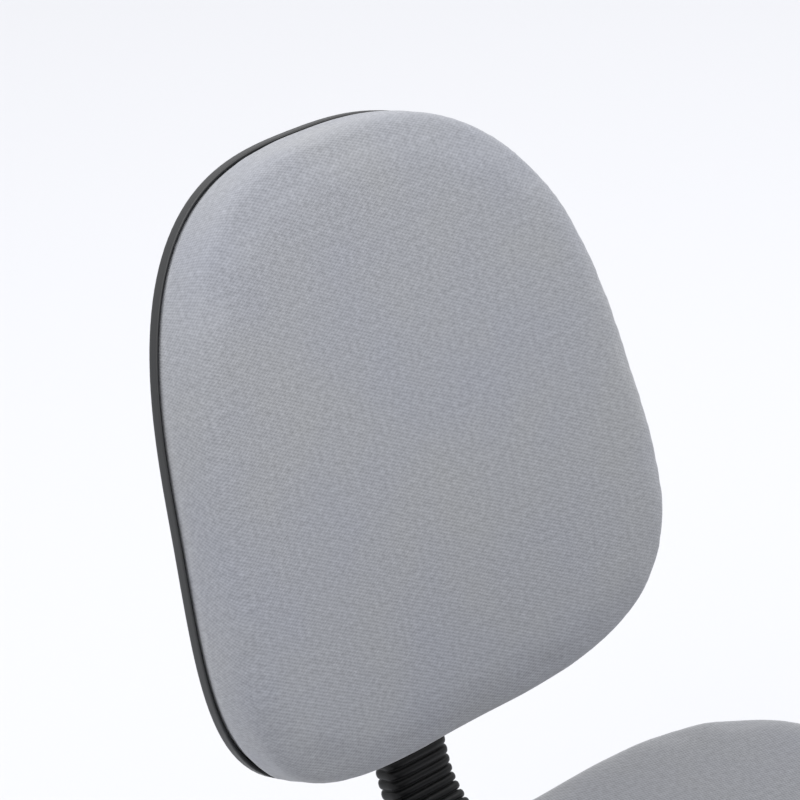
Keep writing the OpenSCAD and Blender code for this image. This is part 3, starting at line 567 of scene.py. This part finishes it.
def bellows_tree():
    """Ribs along the bent bar: a grid whose rows run down its middle line and whose columns go
    round a squarish oval, drawn in between the ribs."""
    tree = bpy.data.node_groups.new("ribbed_sleeve", "GeometryNodeTree")
    tree.interface.new_socket("Geometry", in_out="INPUT", socket_type="NodeSocketGeometry")
    defaults = {
        "Half Width": 0.031, "Half Depth": 0.014, "Rib Pitch": 0.009, "Rib Depth": 0.0036, "Length": 0.25,
        "Level Run": 0.04, "Bend Radius": 0.07, "Bend Angle": 1.2, "Start Y": 0.15, "Start Z": 0.39,
    }
    for label, value in defaults.items():
        tree.interface.new_socket(label, in_out="INPUT", socket_type="NodeSocketFloat").default_value = value
    tree.interface.new_socket("Sleeve", in_out="INPUT", socket_type="NodeSocketMaterial")
    tree.interface.new_socket("Rows", in_out="INPUT", socket_type="NodeSocketInt").default_value = 300
    tree.interface.new_socket("Geometry", in_out="OUTPUT", socket_type="NodeSocketGeometry")
    given = tree.nodes.new("NodeGroupInput").outputs
    result = tree.nodes.new("NodeGroupOutput")

    columns = 72
    grid = add_node(
        tree, "GeometryNodeMeshGrid",
        {"Size X": 1.0, "Size Y": 1.0, "Vertices X": columns + 1, "Vertices Y": given["Rows"]}
    )
    place = add_node(
        tree, "ShaderNodeSeparateXYZ", {0: add_node(tree, "GeometryNodeInputPosition").outputs[0]}
    )
    turn = calc(tree, "MULTIPLY", calc(tree, "ADD", place.outputs["X"], 0.5), 2 * math.pi)
    along = calc(tree, "MULTIPLY", calc(tree, "ADD", place.outputs["Y"], 0.5), given["Length"])

    share = calc(tree, "FRACT", calc(tree, "DIVIDE", along, given["Rib Pitch"]))
    hollow = calc(tree, "ABSOLUTE", calc(tree, "MULTIPLY_ADD", share, 2.0, -1.0))
    fall = calc(
        tree, "SUBTRACT", 1.0,
        calc(tree, "SQRT", calc(tree, "SUBTRACT", 1.0, calc(tree, "POWER", hollow, 2.6))),
    )
    dip = calc(tree, "MULTIPLY", fall, given["Rib Depth"])
    from_end = calc(tree, "MINIMUM", along, calc(tree, "SUBTRACT", given["Length"], along))
    closing = calc(tree, "GREATER_THAN", from_end, 0.0001)

    def across(wave, half):
        """One axis of the squarish oval: the sign of the wave times its power."""
        size = calc(tree, "POWER", calc(tree, "ABSOLUTE", wave), 2 / 4.5)
        reach = calc(tree, "MULTIPLY", calc(tree, "SUBTRACT", half, dip), closing)
        return calc(tree, "MULTIPLY", calc(tree, "MULTIPLY", size, calc(tree, "SIGN", wave)), reach)

    x = across(calc(tree, "COSINE", turn), given["Half Width"])
    depth = across(calc(tree, "SINE", turn), given["Half Depth"])
    run = calc(tree, "MINIMUM", along, given["Level Run"])
    past = calc(tree, "MAXIMUM", calc(tree, "SUBTRACT", along, given["Level Run"]), 0.0)
    angle = calc(tree, "MINIMUM", calc(tree, "DIVIDE", past, given["Bend Radius"]), given["Bend Angle"])
    rest = calc(tree, "SUBTRACT", past, calc(tree, "MULTIPLY", angle, given["Bend Radius"]))
    sine, cosine = calc(tree, "SINE", angle), calc(tree, "COSINE", angle)
    y = calc(
        tree, "ADD", calc(tree, "ADD", given["Start Y"], run),
        calc(tree, "MULTIPLY", sine, given["Bend Radius"]),
    )
    y = calc(tree, "ADD", y, calc(tree, "MULTIPLY", rest, cosine))
    y = calc(tree, "SUBTRACT", y, calc(tree, "MULTIPLY", depth, sine))
    rise = calc(tree, "MULTIPLY", calc(tree, "SUBTRACT", 1.0, cosine), given["Bend Radius"])
    z = calc(tree, "ADD", calc(tree, "ADD", given["Start Z"], rise), calc(tree, "MULTIPLY", rest, sine))
    z = calc(tree, "ADD", z, calc(tree, "MULTIPLY", depth, cosine))
    target = add_node(tree, "ShaderNodeCombineXYZ", {"X": x, "Y": y, "Z": z})
    shaped = add_node(
        tree, "GeometryNodeSetPosition", {"Geometry": grid.outputs["Mesh"], "Position": target.outputs[0]}
    )
    closed = add_node(
        tree, "GeometryNodeMergeByDistance", {"Geometry": shaped.outputs[0], "Distance": 0.00002}
    )
    smooth = add_node(tree, "GeometryNodeSetShadeSmooth", {"Geometry": closed.outputs[0]})
    real = add_node(tree, "GeometryNodeRealizeInstances", {"Geometry": smooth.outputs[0]})
    painted = add_node(
        tree, "GeometryNodeSetMaterial", {"Geometry": real.outputs[0], "Material": given["Sleeve"]}
    )
    tree.links.new(painted.outputs[0], result.inputs[0])
    return tree


def grown(name, tree, values):
    """The plain mesh that a geometry tree makes from these named values."""
    seed = bpy.data.objects.new(name + "_seed", bpy.data.meshes.new(name + "_seed"))
    scene.collection.objects.link(seed)
    modifier = seed.modifiers.new("tree", "NODES")
    modifier.node_group = tree
    for item in tree.interface.items_tree:
        if item.in_out == "INPUT" and item.name in values:
            modifier[item.identifier] = values[item.name]
    bpy.context.view_layer.update()
    mesh = bpy.data.meshes.new_from_object(seed.evaluated_get(bpy.context.evaluated_depsgraph_get()))
    bpy.data.objects.remove(seed)
    mesh.name = name
    piece = bpy.data.objects.new(name, mesh)
    scene.collection.objects.link(piece)
    outwards(mesh)
    return piece


bellows_length = bellows_level + bend_radius * bend_angle + bellows_in_back
rib_count = int(bellows_length / rib_pitch)
bellows_plastic = moulded_plastic(
    "bellows_plastic", grey(0.005, -0.06), 0.34, pebbles=800.0, depth=0.00004, rub_and_highlight=0.0, dust=0.01
)
bellows_plastic.node_tree.nodes["Principled BSDF"].inputs["Specular IOR Level"].default_value = 0.22
bellows = grown(
    "bellows_sleeve",
    bellows_tree(),
    {
        "Half Width": 0.0335, "Half Depth": 0.014, "Rib Pitch": rib_pitch, "Rib Depth": 0.0034,
        "Length": rib_count * rib_pitch, "Level Run": bellows_level, "Bend Radius": bend_radius,
        "Bend Angle": bend_angle, "Start Y": bellows_start, "Start Z": bar_z,
        "Sleeve": bellows_plastic, "Rows": 12 * rib_count + 1,
    },
)
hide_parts("upright_bellows")
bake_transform(bellows)


# ---------------------------------------------------------------- backrest shell
# A moulded cover closes the back of the backrest. Its edge band frames the cushion all the
# way round, and a raised channel down its middle makes room for the upright and its guide.
back_w = 0.453
back_h = 0.500
back_taper = 0.11
wrap_radius = 1.370
lumbar_radius = 1.850
lumbar_y = -0.034
rim_w = 0.0155
shell_wall = 0.003
ring_points = 192


def ease(v):
    """Rises smoothly from 0 to 1 as its value does."""
    u = np.clip(v, 0, 1)
    return u * u * (3 - 2 * u)


def reach(t, half_x, half_y, n):
    """Distance from the middle to a rounded rectangle of power n, at the angles t."""
    return (np.abs(np.cos(t) / half_x) ** n + np.abs(np.sin(t) / half_y) ** n) ** (-1 / n)


def back_outline(inset, factor=1.0, count=ring_points):
    """Points of the backrest's outline, drawn in by an inset and shrunk by a factor: x and y up the slope."""
    t = np.linspace(0, 2 * math.pi, count, endpoint=False)
    size = reach(t, back_w / 2 - inset, back_h / 2 - inset, np.where(np.sin(t) > 0, 2.73, 3.5))
    y = size * np.sin(t)
    x = size * np.cos(t) * (1 - back_taper * 2 * y / back_h)
    return factor * x, factor * y


def back_bend(x, y):
    """How far forwards the backrest stands at a place: it wraps the sides and swells at the lumbar."""
    return x * x / (2 * wrap_radius) - (y - lumbar_y) ** 2 / (2 * lumbar_radius)


def out_of_back(x, y, w):
    """World points of places on the backrest: across, up the slope and forwards."""
    local = np.stack([x, y, w], axis=-1)
    axes = np.array([(1, 0, 0), back_up, back_out])
    return local @ axes + np.array(back_centre)


hump_front = -0.081
hump_back = -0.086
dome = 0.018


def channel(x, y):
    """1 inside the raised channel of the shell, falling away to its sides and above it."""
    return (1 - ease((np.abs(x) - 0.046) / 0.052)) * (1 - ease((y - 0.010) / 0.120))


def shell_ring(inset, w, deep, factor=1.0):
    """A ring of the shell at a depth w, which goes back to the depth of the channel inside it."""
    x, y = back_outline(inset, factor)
    inside = channel(x, y)
    level = w + back_bend(x, y)
    return out_of_back(x, y, level * (1 - inside) + deep * inside)


rows = np.linspace(0.02, 0.985, 44)
rim_arc = np.radians(np.linspace(0, 90, 5))
lip = 0.0013
lip_top = -0.0043
outer = [shell_ring(0.003, -rim_w - dome * (1 - f * f), hump_back, f) for f in rows]
corner = [
    shell_ring(0.003 * (1 - math.sin(a)), -rim_w + 0.003 * (1 - math.cos(a)), hump_back + 0.001, 1)
    for a in rim_arc
]
band = [shell_ring(0, w, hump_front - 0.003) for w in (-0.010, -0.007)]
lip_rings = [
    shell_ring(lip * (1 - math.cos(a)), lip_top - lip * (1 - math.sin(a)), hump_front) for a in rim_arc
]
inner_lip = [
    shell_ring(shell_wall, lip_top - lip, hump_front), shell_ring(shell_wall, -0.010, hump_front - 0.001)
]
inner = [
    shell_ring(0.006, shell_wall - rim_w - dome * (1 - f * f), hump_back + shell_wall, f) for f in rows[::-1]
]
back_shell = lofted("back_shell_moulding", outer + corner + band + lip_rings + inner_lip + inner)
shell_plastic = moulded_plastic(
    "shell_plastic", grey(0.017, -0.05), 0.45, pebbles=1500.0, depth=0.00007, rub_and_highlight=0.25, dust=0.05
)
back_shell.data.materials.append(shell_plastic)
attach(back_shell, "backrest")
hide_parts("back_shell")


# ---------------------------------------------------------------- slide guide, clamp and panel
# The upright slides through a pressed guide screwed to the plywood panel behind the foam. A
# lobed knob on the back draws the clamp plate against the bar.
def plywood_material():
    """Birch plywood with its fibres drawn out across the panel."""
    material, tree, shader = new_material("plywood", 0.7)
    place = add_node(tree, "ShaderNodeTexCoord").outputs["Object"]
    turned = add_node(tree, "ShaderNodeMapping", {"Vector": place, "Scale": (220.0, 12.0, 12.0)})
    fibres = add_node(tree, "ShaderNodeTexNoise", {"Vector": turned.outputs[0], "Scale": 1.0, "Detail": 5.0})
    tree.links.new(
        tint(tree, fibres.outputs[0], (0.42, 0.26, 0.13, 1), (0.66, 0.47, 0.28, 1)),
        shader.inputs["Base Color"]
    )
    bump = add_node(
        tree, "ShaderNodeBump", {"Height": fibres.outputs[0], "Distance": 0.0002, "Strength": 0.5}
    )
    tree.links.new(bump.outputs[0], shader.inputs["Normal"])
    return material


plywood = plywood_material()
for name in ("back_panel", "seat_pan"):
    coat_node(name, plywood)
soften("back_slide_guide", 0.0005, black_steel, segments=2)
for name in ("clamp_plate", "clamp_stud", "guide_screws", "seat_tee_nuts", "armrest_inserts"):
    coat_node(name, zinc_steel)
soften("clamp_knob", 0.0022, handle_plastic, segments=4)


# ---------------------------------------------------------------- backrest cushion
# Cut foam on the panel under one piece of woven grey cloth, drawn over the edge and stapled
# behind. The cloth tucks into the shell's edge band all the way round, with no seam in front.
def hopsack_group():
    """Hopsack cloth: floats of thread in staggered rows, with slubs and threads of unequal tone."""
    tree, given, result = effect_group(
        "hopsack",
        [
            ("Cloth", "NodeSocketVector", None),
            ("Float Length", "NodeSocketFloat", 0.0053),
            ("Row Height", "NodeSocketFloat", 0.0030),
            ("Unevenness", "NodeSocketFloat", 0.3),
        ],
        [("Height", "NodeSocketFloat"), ("Thread", "NodeSocketFloat"), ("Slub", "NodeSocketFloat")],
    )
    wander = add_node(tree, "ShaderNodeTexNoise", {"Vector": given["Cloth"], "Scale": 60.0, "Detail": 2.0})
    centred = add_node(
        tree, "ShaderNodeVectorMath", {0: wander.outputs["Color"], 1: (0.5, 0.5, 0.5)}, operation="SUBTRACT"
    )
    drawn = add_node(
        tree, "ShaderNodeVectorMath", {0: centred.outputs[0], 1: (0.0016, 0.0009, 0.0)},
        operation="MULTIPLY",
    )
    moved = add_node(tree, "ShaderNodeVectorMath", {0: given["Cloth"], 1: drawn.outputs[0]}, operation="ADD")
    place = add_node(tree, "ShaderNodeSeparateXYZ", {0: moved.outputs[0]})
    across = calc(
        tree, "DIVIDE", calc(tree, "MULTIPLY", place.outputs["X"], 2 * math.pi), given["Float Length"]
    )
    up = calc(tree, "DIVIDE", calc(tree, "MULTIPLY", place.outputs["Y"], 2 * math.pi), given["Row Height"])
    wave = calc(tree, "MULTIPLY", calc(tree, "COSINE", across), calc(tree, "COSINE", up))
    crossing = calc(tree, "MULTIPLY", calc(tree, "SINE", across), calc(tree, "SINE", up))
    fine = calc(tree, "MULTIPLY", calc(tree, "MULTIPLY", crossing, crossing), 0.35)
    tree.links.new(calc(tree, "ADD", wave, fine), result.inputs["Height"])
    cells = add_node(
        tree, "ShaderNodeMapping", {"Vector": moved.outputs[0], "Scale": (1 / 0.0053, 1 / 0.0015, 1.0)}
    )
    tones = add_node(tree, "ShaderNodeTexNoise", {"Vector": cells.outputs[0], "Scale": 1.3, "Detail": 1.0})
    uneven = calc(tree, "MULTIPLY", calc(tree, "SUBTRACT", tones.outputs[0], 0.5), given["Unevenness"])
    shown = calc(
        tree, "ADD", calc(tree, "MULTIPLY_ADD", wave, 0.5, 0.5), calc(tree, "MULTIPLY", uneven, 2.0),
        clamp=True,
    )
    tree.links.new(shown, result.inputs["Thread"])
    long_cells = add_node(tree, "ShaderNodeMapping", {"Vector": given["Cloth"], "Scale": (12.0, 420.0, 1.0)})
    slubs = add_node(
        tree, "ShaderNodeTexNoise", {"Vector": long_cells.outputs[0], "Scale": 1.0, "Detail": 4.0}
    )
    tree.links.new(slubs.outputs[0], result.inputs["Slub"])
    return tree


hopsack = hopsack_group()


def woven_cloth(name, shade, sheen, float_length, row_height):
    """Flat-woven polyester, light and dark grey yarns together, with a faint fuzz of fibres."""
    material, tree, shader = new_material(name, 0.92, sheen=sheen)
    shader.inputs["Sheen Roughness"].default_value = 0.5
    shader.inputs["Specular IOR Level"].default_value = 0.25
    cloth = add_node(tree, "ShaderNodeAttribute", attribute_name="cloth").outputs["Vector"]
    weave = place_group(
        tree, hopsack, Cloth=cloth, Float_Length=float_length, Row_Height=row_height, Unevenness=0.35
    )
    drift = add_node(tree, "ShaderNodeTexNoise", {"Vector": cloth, "Scale": 7.0, "Detail": 3.0})
    cool = (0.345 * shade, 0.358 * shade, 0.402 * shade, 1)
    warm = (0.362 * shade, 0.370 * shade, 0.386 * shade, 1)
    yarn = tint(tree, calc(tree, "MULTIPLY_ADD", drift.outputs[0], 3.0, -1.0, clamp=True), cool, warm)
    light = tint(tree, 0.17, yarn, (0.62 * shade, 0.63 * shade, 0.66 * shade, 1))
    dark = tint(tree, 0.18, yarn, (0.16 * shade, 0.165 * shade, 0.18 * shade, 1))
    threads = tint(tree, weave["Thread"], dark, light)
    slubbed = tint(tree, calc(tree, "MULTIPLY_ADD", weave["Slub"], 0.5, -0.12, clamp=True), threads, yarn)
    mottle = add_node(tree, "ShaderNodeTexNoise", {"Vector": cloth, "Scale": 230.0, "Detail": 2.0})
    shaded = tint(
        tree, calc(tree, "MULTIPLY_ADD", mottle.outputs[0], 1.6, -0.3, clamp=True), grey(0.82), grey(1.18)
    )
    uneven = add_node(tree, "ShaderNodeVectorMath", {0: slubbed, 1: shaded}, operation="MULTIPLY")
    tree.links.new(uneven.outputs[0], shader.inputs["Base Color"])
    bump = add_node(tree, "ShaderNodeBump", {"Height": weave["Height"], "Distance": 0.00025, "Strength": 0.5})
    tree.links.new(bump.outputs[0], shader.inputs["Normal"])
    return material


def places(mesh):
    """The points of a mesh as the rows of an array."""
    co = np.empty(len(mesh.vertices) * 3)
    mesh.vertices.foreach_get("co", co)
    return co.reshape(-1, 3)


def applied(piece):
    """Replaces a piece's mesh by what its modifiers make of it, and takes them off."""
    bpy.context.view_layer.update()
    mesh = bpy.data.meshes.new_from_object(piece.evaluated_get(bpy.context.evaluated_depsgraph_get()))
    piece.modifiers.clear()
    piece.data = mesh


def evened(mesh, values, rounds):
    """Vectors kept at a mesh's points, each drawn half way to the mean of its neighbours' every round."""
    ends = np.empty(len(mesh.edges) * 2, dtype=np.int64)
    mesh.edges.foreach_get("vertices", ends)
    near, far = ends.reshape(-1, 2).T
    count = np.bincount(ends, minlength=len(values))[:, None]
    for _ in range(rounds):
        total = np.zeros_like(values)
        np.add.at(total, near, values[far])
        np.add.at(total, far, values[near])
        values = 0.5 * values + 0.5 * total / count
    return values


def stuffed(piece, held, voxel, pressure, cap):
    """Blows a closed cover up like stuffed cloth. held says how firmly each point is fixed, from
    0 to 1, and no point ends further than cap from where it was cut."""
    remesh = piece.modifiers.new("voxels", "REMESH")
    remesh.mode = "VOXEL"
    remesh.voxel_size = voxel
    remesh.adaptivity = 0
    applied(piece)
    before = places(piece.data)
    pins = piece.vertex_groups.new(name="held")
    for index, weight in enumerate(held(before)):
        if weight > 0:
            pins.add([index], float(weight), "REPLACE")
    cloth = piece.modifiers.new("stuffing", "CLOTH")
    cloth.settings.quality = 5
    cloth.settings.mass = 0.25
    cloth.settings.tension_stiffness = 12
    cloth.settings.compression_stiffness = 12
    cloth.settings.shear_stiffness = 5
    cloth.settings.bending_stiffness = 0.8
    cloth.settings.use_pressure = True
    cloth.settings.uniform_pressure_force = pressure
    cloth.settings.vertex_group_mass = "held"
    cloth.settings.effector_weights.gravity = 0
    cloth.collision_settings.use_collision = False
    cloth.point_cache.frame_start = 1
    cloth.point_cache.frame_end = 20
    for step in range(1, 21):
        scene.frame_set(step)
    applied(piece)
    scene.frame_set(1)
    moved = evened(piece.data, places(piece.data) - before, 12)
    length = np.linalg.norm(moved, axis=1, keepdims=True)
    moved *= cap * np.tanh(length / cap) / np.maximum(length, 1e-9)
    piece.data.vertices.foreach_set("co", (before + moved).ravel())
    piece.vertex_groups.clear()


def rounded(piece, levels=1):
    """Subdivides a piece and applies it."""
    smooth = piece.modifiers.new("rounding", "SUBSURF")
    smooth.levels = smooth.render_levels = levels
    applied(piece)
    piece.data.shade_smooth()


def on_back(points):
    """Places on the backrest of world points: across, up the slope and forwards of the bent plane."""
    local = (points - np.array(back_centre)) @ np.array([(1, 0, 0), back_up, back_out]).T
    return local[:, 0], local[:, 1], local[:, 2] - back_bend(local[:, 0], local[:, 1])


def outline_share(x, y, half_x, half_y, n, taper=0.0):
    """How far out a place lies on an outline's own scale: 1 is on the outline itself."""
    across = np.abs(x) / (half_x * (1 - taper * y / half_y))
    return (across**n + (np.abs(y) / half_y) ** n) ** (1 / n)


def back_share(x, y):
    """How far out a place lies on the backrest's outline."""
    return outline_share(x, y, back_w / 2, back_h / 2, np.where(y > 0, 2.73, 3.5), back_taper)


root_w = -0.0045
held_depth = 0.009
back_profile = [
    (0.0125, root_w), (0.0090, -0.0088), (0.0062, -0.0090), (0.0046, -0.0065), (0.0030, -0.0030),
    (0.0005, 0.0010), (-0.0015, 0.0060), (-0.0020, 0.0120), (-0.0020, 0.0250), (-0.0018, 0.0315),
    (0.0000, 0.0370), (0.0040, 0.0402), (0.0100, 0.0413), (0.0180, 0.0416),
]


def from_back(x, y, w):
    """World points of places on the backrest's bent plane."""
    return out_of_back(x, y, w + back_bend(x, y))


def back_cushion_ring(inset, w, factor=1.0):
    """A ring of the cushion, drawn in from the outline and standing w in front of the panel."""
    x, y = back_outline(inset, factor, 160)
    return from_back(x, y, w)


crown = 0.0025
face_inset, face_w = back_profile[-1]
back_cushion = lofted(
    "backrest_cushion",
    [back_cushion_ring(0.0125, root_w, f) for f in (0.05, 0.2, 0.4, 0.6, 0.8)]
    + [back_cushion_ring(inset, w) for inset, w in back_profile]
    + [
        back_cushion_ring(face_inset, face_w + (crown - 0.001) * (1 - f * f), f)
        for f in (0.9, 0.8, 0.7, 0.6, 0.5, 0.4, 0.3, 0.2, 0.1, 0.03)
    ],
)


def fitted(piece, flat, bent, share_of, low, full):
    """Draws a stuffed cushion out, above its tucked root, until its fullest girth follows its outline."""
    x, y, w = flat(places(piece.data))
    share = share_of(x, y)
    turn = np.arctan2(y, x)
    stops = np.linspace(-math.pi, math.pi, 120, endpoint=False)
    girth = [share[(np.cos(turn - a) > math.cos(0.04)) & (w > low)].max() for a in stops]
    waves = np.fft.rfft(girth)
    waves[11:] = 0
    girth = np.interp(turn, stops, np.fft.irfft(waves, len(stops)), period=2 * math.pi)
    factor = 1 + (1 / girth - 1) * ease((w - low) / (full - low))
    piece.data.vertices.foreach_set("co", bent(x * factor, y * factor, w).ravel())


hem_profile = [
    (0.0120, -0.0098), (0.0056, -0.0098), (0.0047, -0.0092), (0.0042, -0.0075), (0.0038, -0.0035),
    (0.0044, 0.0010),
    (0.0075, 0.0030), (0.0120, 0.0030),
]
hem_rings = [back_cushion_ring(inset, w) for inset, w in hem_profile]
count = len(hem_rings[0])
hem_mesh = bpy.data.meshes.new("backrest_hem")
hem_mesh.from_pydata(
    np.concatenate(hem_rings).tolist(),
    [],
    [
        (j * count + i, j * count + (i + 1) % count, k * count + (i + 1) % count, k * count + i)
        for j in range(len(hem_rings))
        for k in [(j + 1) % len(hem_rings)]
        for i in range(count)
    ],
)
outwards(hem_mesh)
hem_mesh.shade_smooth()
back_hem = bpy.data.objects.new("backrest_hem", hem_mesh)
scene.collection.objects.link(back_hem)


def back_held(points):
    """How firmly the panel holds the cushion's points: wholly at its root, not at all above it."""
    x, y, w = on_back(points)
    return 1 - ease((w - root_w) / held_depth)


stuffed(back_cushion, back_held, voxel=0.005, pressure=4.0, cap=0.005)
fitted(back_cushion, on_back, from_back, back_share, low=root_w, full=0.001)
rounded(back_cushion)


def lay_cloth(piece, x, y, drop, share_of, height, reach):
    """Stores each point's place on the flat cloth, which runs on over the edge by its drop."""
    step = 0.0005
    slope_x = (share_of(x + step, y) - share_of(x - step, y)) / (2 * step)
    slope_y = (share_of(x, y + step) - share_of(x, y - step)) / (2 * step)
    slope = np.maximum(np.hypot(slope_x, slope_y), 1e-6)
    near_edge = ease((share_of(x, y) - reach) / (1 - reach))
    over = np.maximum(drop, 0) * near_edge
    flat = np.stack(
        [x + over * slope_x / slope, y + over * slope_y / slope, np.full_like(x, height)], axis=-1
    )
    attribute = piece.data.attributes.new("cloth", "FLOAT_VECTOR", "POINT")
    attribute.data.foreach_set("vector", flat.astype(np.float32).ravel())


back_fabric = woven_cloth("back_fabric", 0.765, 0.3, float_length=0.0053, row_height=0.0030)
for piece in (back_cushion, back_hem):
    x, y, w = on_back(places(piece.data))
    lay_cloth(piece, x, y, face_w - w, back_share, 0.0, 0.86)
    piece.data.materials.clear()
    piece.data.materials.append(back_fabric)
    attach(piece, "backrest")
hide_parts("back_foam", "back_cover")


# ---------------------------------------------------------------- seat shell and cushion
# A moulded tray covers the underside of the plywood seat pan and turns up round its edge. The
# cushion stands in it: foam with a front that falls away, under the same grey cloth.
seat_w = 0.486
seat_d = 0.434
seat_corner = 3.3
seat_middle_y = chair_axis_y - 0.010
pan_top = 0.448
fall_radius = 0.340
fall_y = chair_axis_y - 0.120


def seat_outline(inset, factor=1.0, count=ring_points):
    """The seat's rounded outline, drawn in by an inset and scaled about its middle."""
    t = np.linspace(0, 2 * math.pi, count, endpoint=False)
    size = factor * reach(t, seat_w / 2 - inset, seat_d / 2 - inset, seat_corner)
    return size * np.cos(t), seat_middle_y + size * np.sin(t)


def seat_fall(y, z):
    """How far the front of the seat drops at a height above the pan."""
    past = np.minimum(y - fall_y, 0)
    return past * past / (2 * fall_radius) * np.clip((z - pan_top - 0.010) / 0.040, 0, 1)


def seat_ring(inset, z, factor=1.0, count=ring_points):
    """A ring of the seat at a height, with the fall of its front edge."""
    x, y = seat_outline(inset, factor, count)
    return np.stack([x, y, z - seat_fall(y, z)], axis=-1)


seat_wall = [
    (0.044, 0.4330), (0.030, 0.4338), (0.020, 0.4352), (0.0125, 0.4378), (0.0075, 0.4415), (0.0048, 0.4460),
    (0.0040, 0.4505), (0.0040, 0.4545), (0.0043, 0.4556), (0.0051, 0.4560), (0.0063, 0.4556),
    (0.0068, 0.4540), (0.0070, 0.4500), (0.0090, 0.4440), (0.0130, 0.4400), (0.0200, 0.4370),
    (0.0440, 0.4358),
]
seat_shell = lofted(
    "seat_shell_moulding",
    [seat_ring(0.044, 0.4330, f) for f in (0.04, 0.35, 0.7)]
    + [seat_ring(inset, z) for inset, z in seat_wall]
    + [seat_ring(0.044, 0.4358, f) for f in (0.7, 0.35, 0.04)],
)
seat_shell.data.materials.append(shell_plastic)
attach(seat_shell, "lift")
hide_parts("seat_shell")

seat_profile = [
    (0.0130, 0.4485), (0.0115, 0.4500), (0.0100, 0.4560), (0.0040, 0.4620), (-0.0005, 0.4670),
    (-0.0015, 0.4750),
    (-0.0015, 0.4860), (-0.0002, 0.4925), (0.0035, 0.4972), (0.0090, 0.4988), (0.0200, 0.4992),
]
top_inset, top_z = seat_profile[-1]
seat_cushion = lofted(
    "seat_cushion",
    [seat_ring(0.0130, 0.4485, f, 160) for f in (0.05, 0.2, 0.4, 0.6, 0.8)]
    + [seat_ring(inset, z, 1.0, 160) for inset, z in seat_profile]
    + [
        seat_ring(top_inset, top_z + 0.0020 * (1 - f * f), f, 160)
        for f in (0.9, 0.8, 0.7, 0.6, 0.5, 0.4, 0.3, 0.2, 0.1, 0.03)
    ],
)


def on_seat(points):
    """World points as places on the seat, measured from its middle."""
    return points[:, 0], points[:, 1] - seat_middle_y, points[:, 2]


def from_seat(x, y, z):
    """World points of places on the seat."""
    return np.stack([x, y + seat_middle_y, z], axis=-1)


def seat_share(x, y):
    """How far out a place lies on the seat's outline."""
    return outline_share(x, y, seat_w / 2, seat_d / 2, seat_corner)


def seat_held(points):
    """How firmly the pan holds the cushion's points: wholly at its root, not at all above it."""
    return 1 - ease((points[:, 2] - 0.455) / 0.009)


stuffed(seat_cushion, seat_held, voxel=0.005, pressure=4.0, cap=0.005)
fitted(seat_cushion, on_seat, from_seat, seat_share, low=0.457, full=0.463)
rounded(seat_cushion)


co = places(seat_cushion.data)
drop = top_z - seat_fall(co[:, 1], co[:, 2]) - co[:, 2]
lay_cloth(seat_cushion, co[:, 0], co[:, 1] - seat_middle_y, drop, seat_share, 0.3, 0.86)
seat_fabric = woven_cloth("seat_fabric", 0.42, 0.6, float_length=0.0026, row_height=0.0075)
seat_cushion.data.materials.clear()
seat_cushion.data.materials.append(seat_fabric)
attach(seat_cushion, "lift")
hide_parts("seat_foam", "seat_cover")
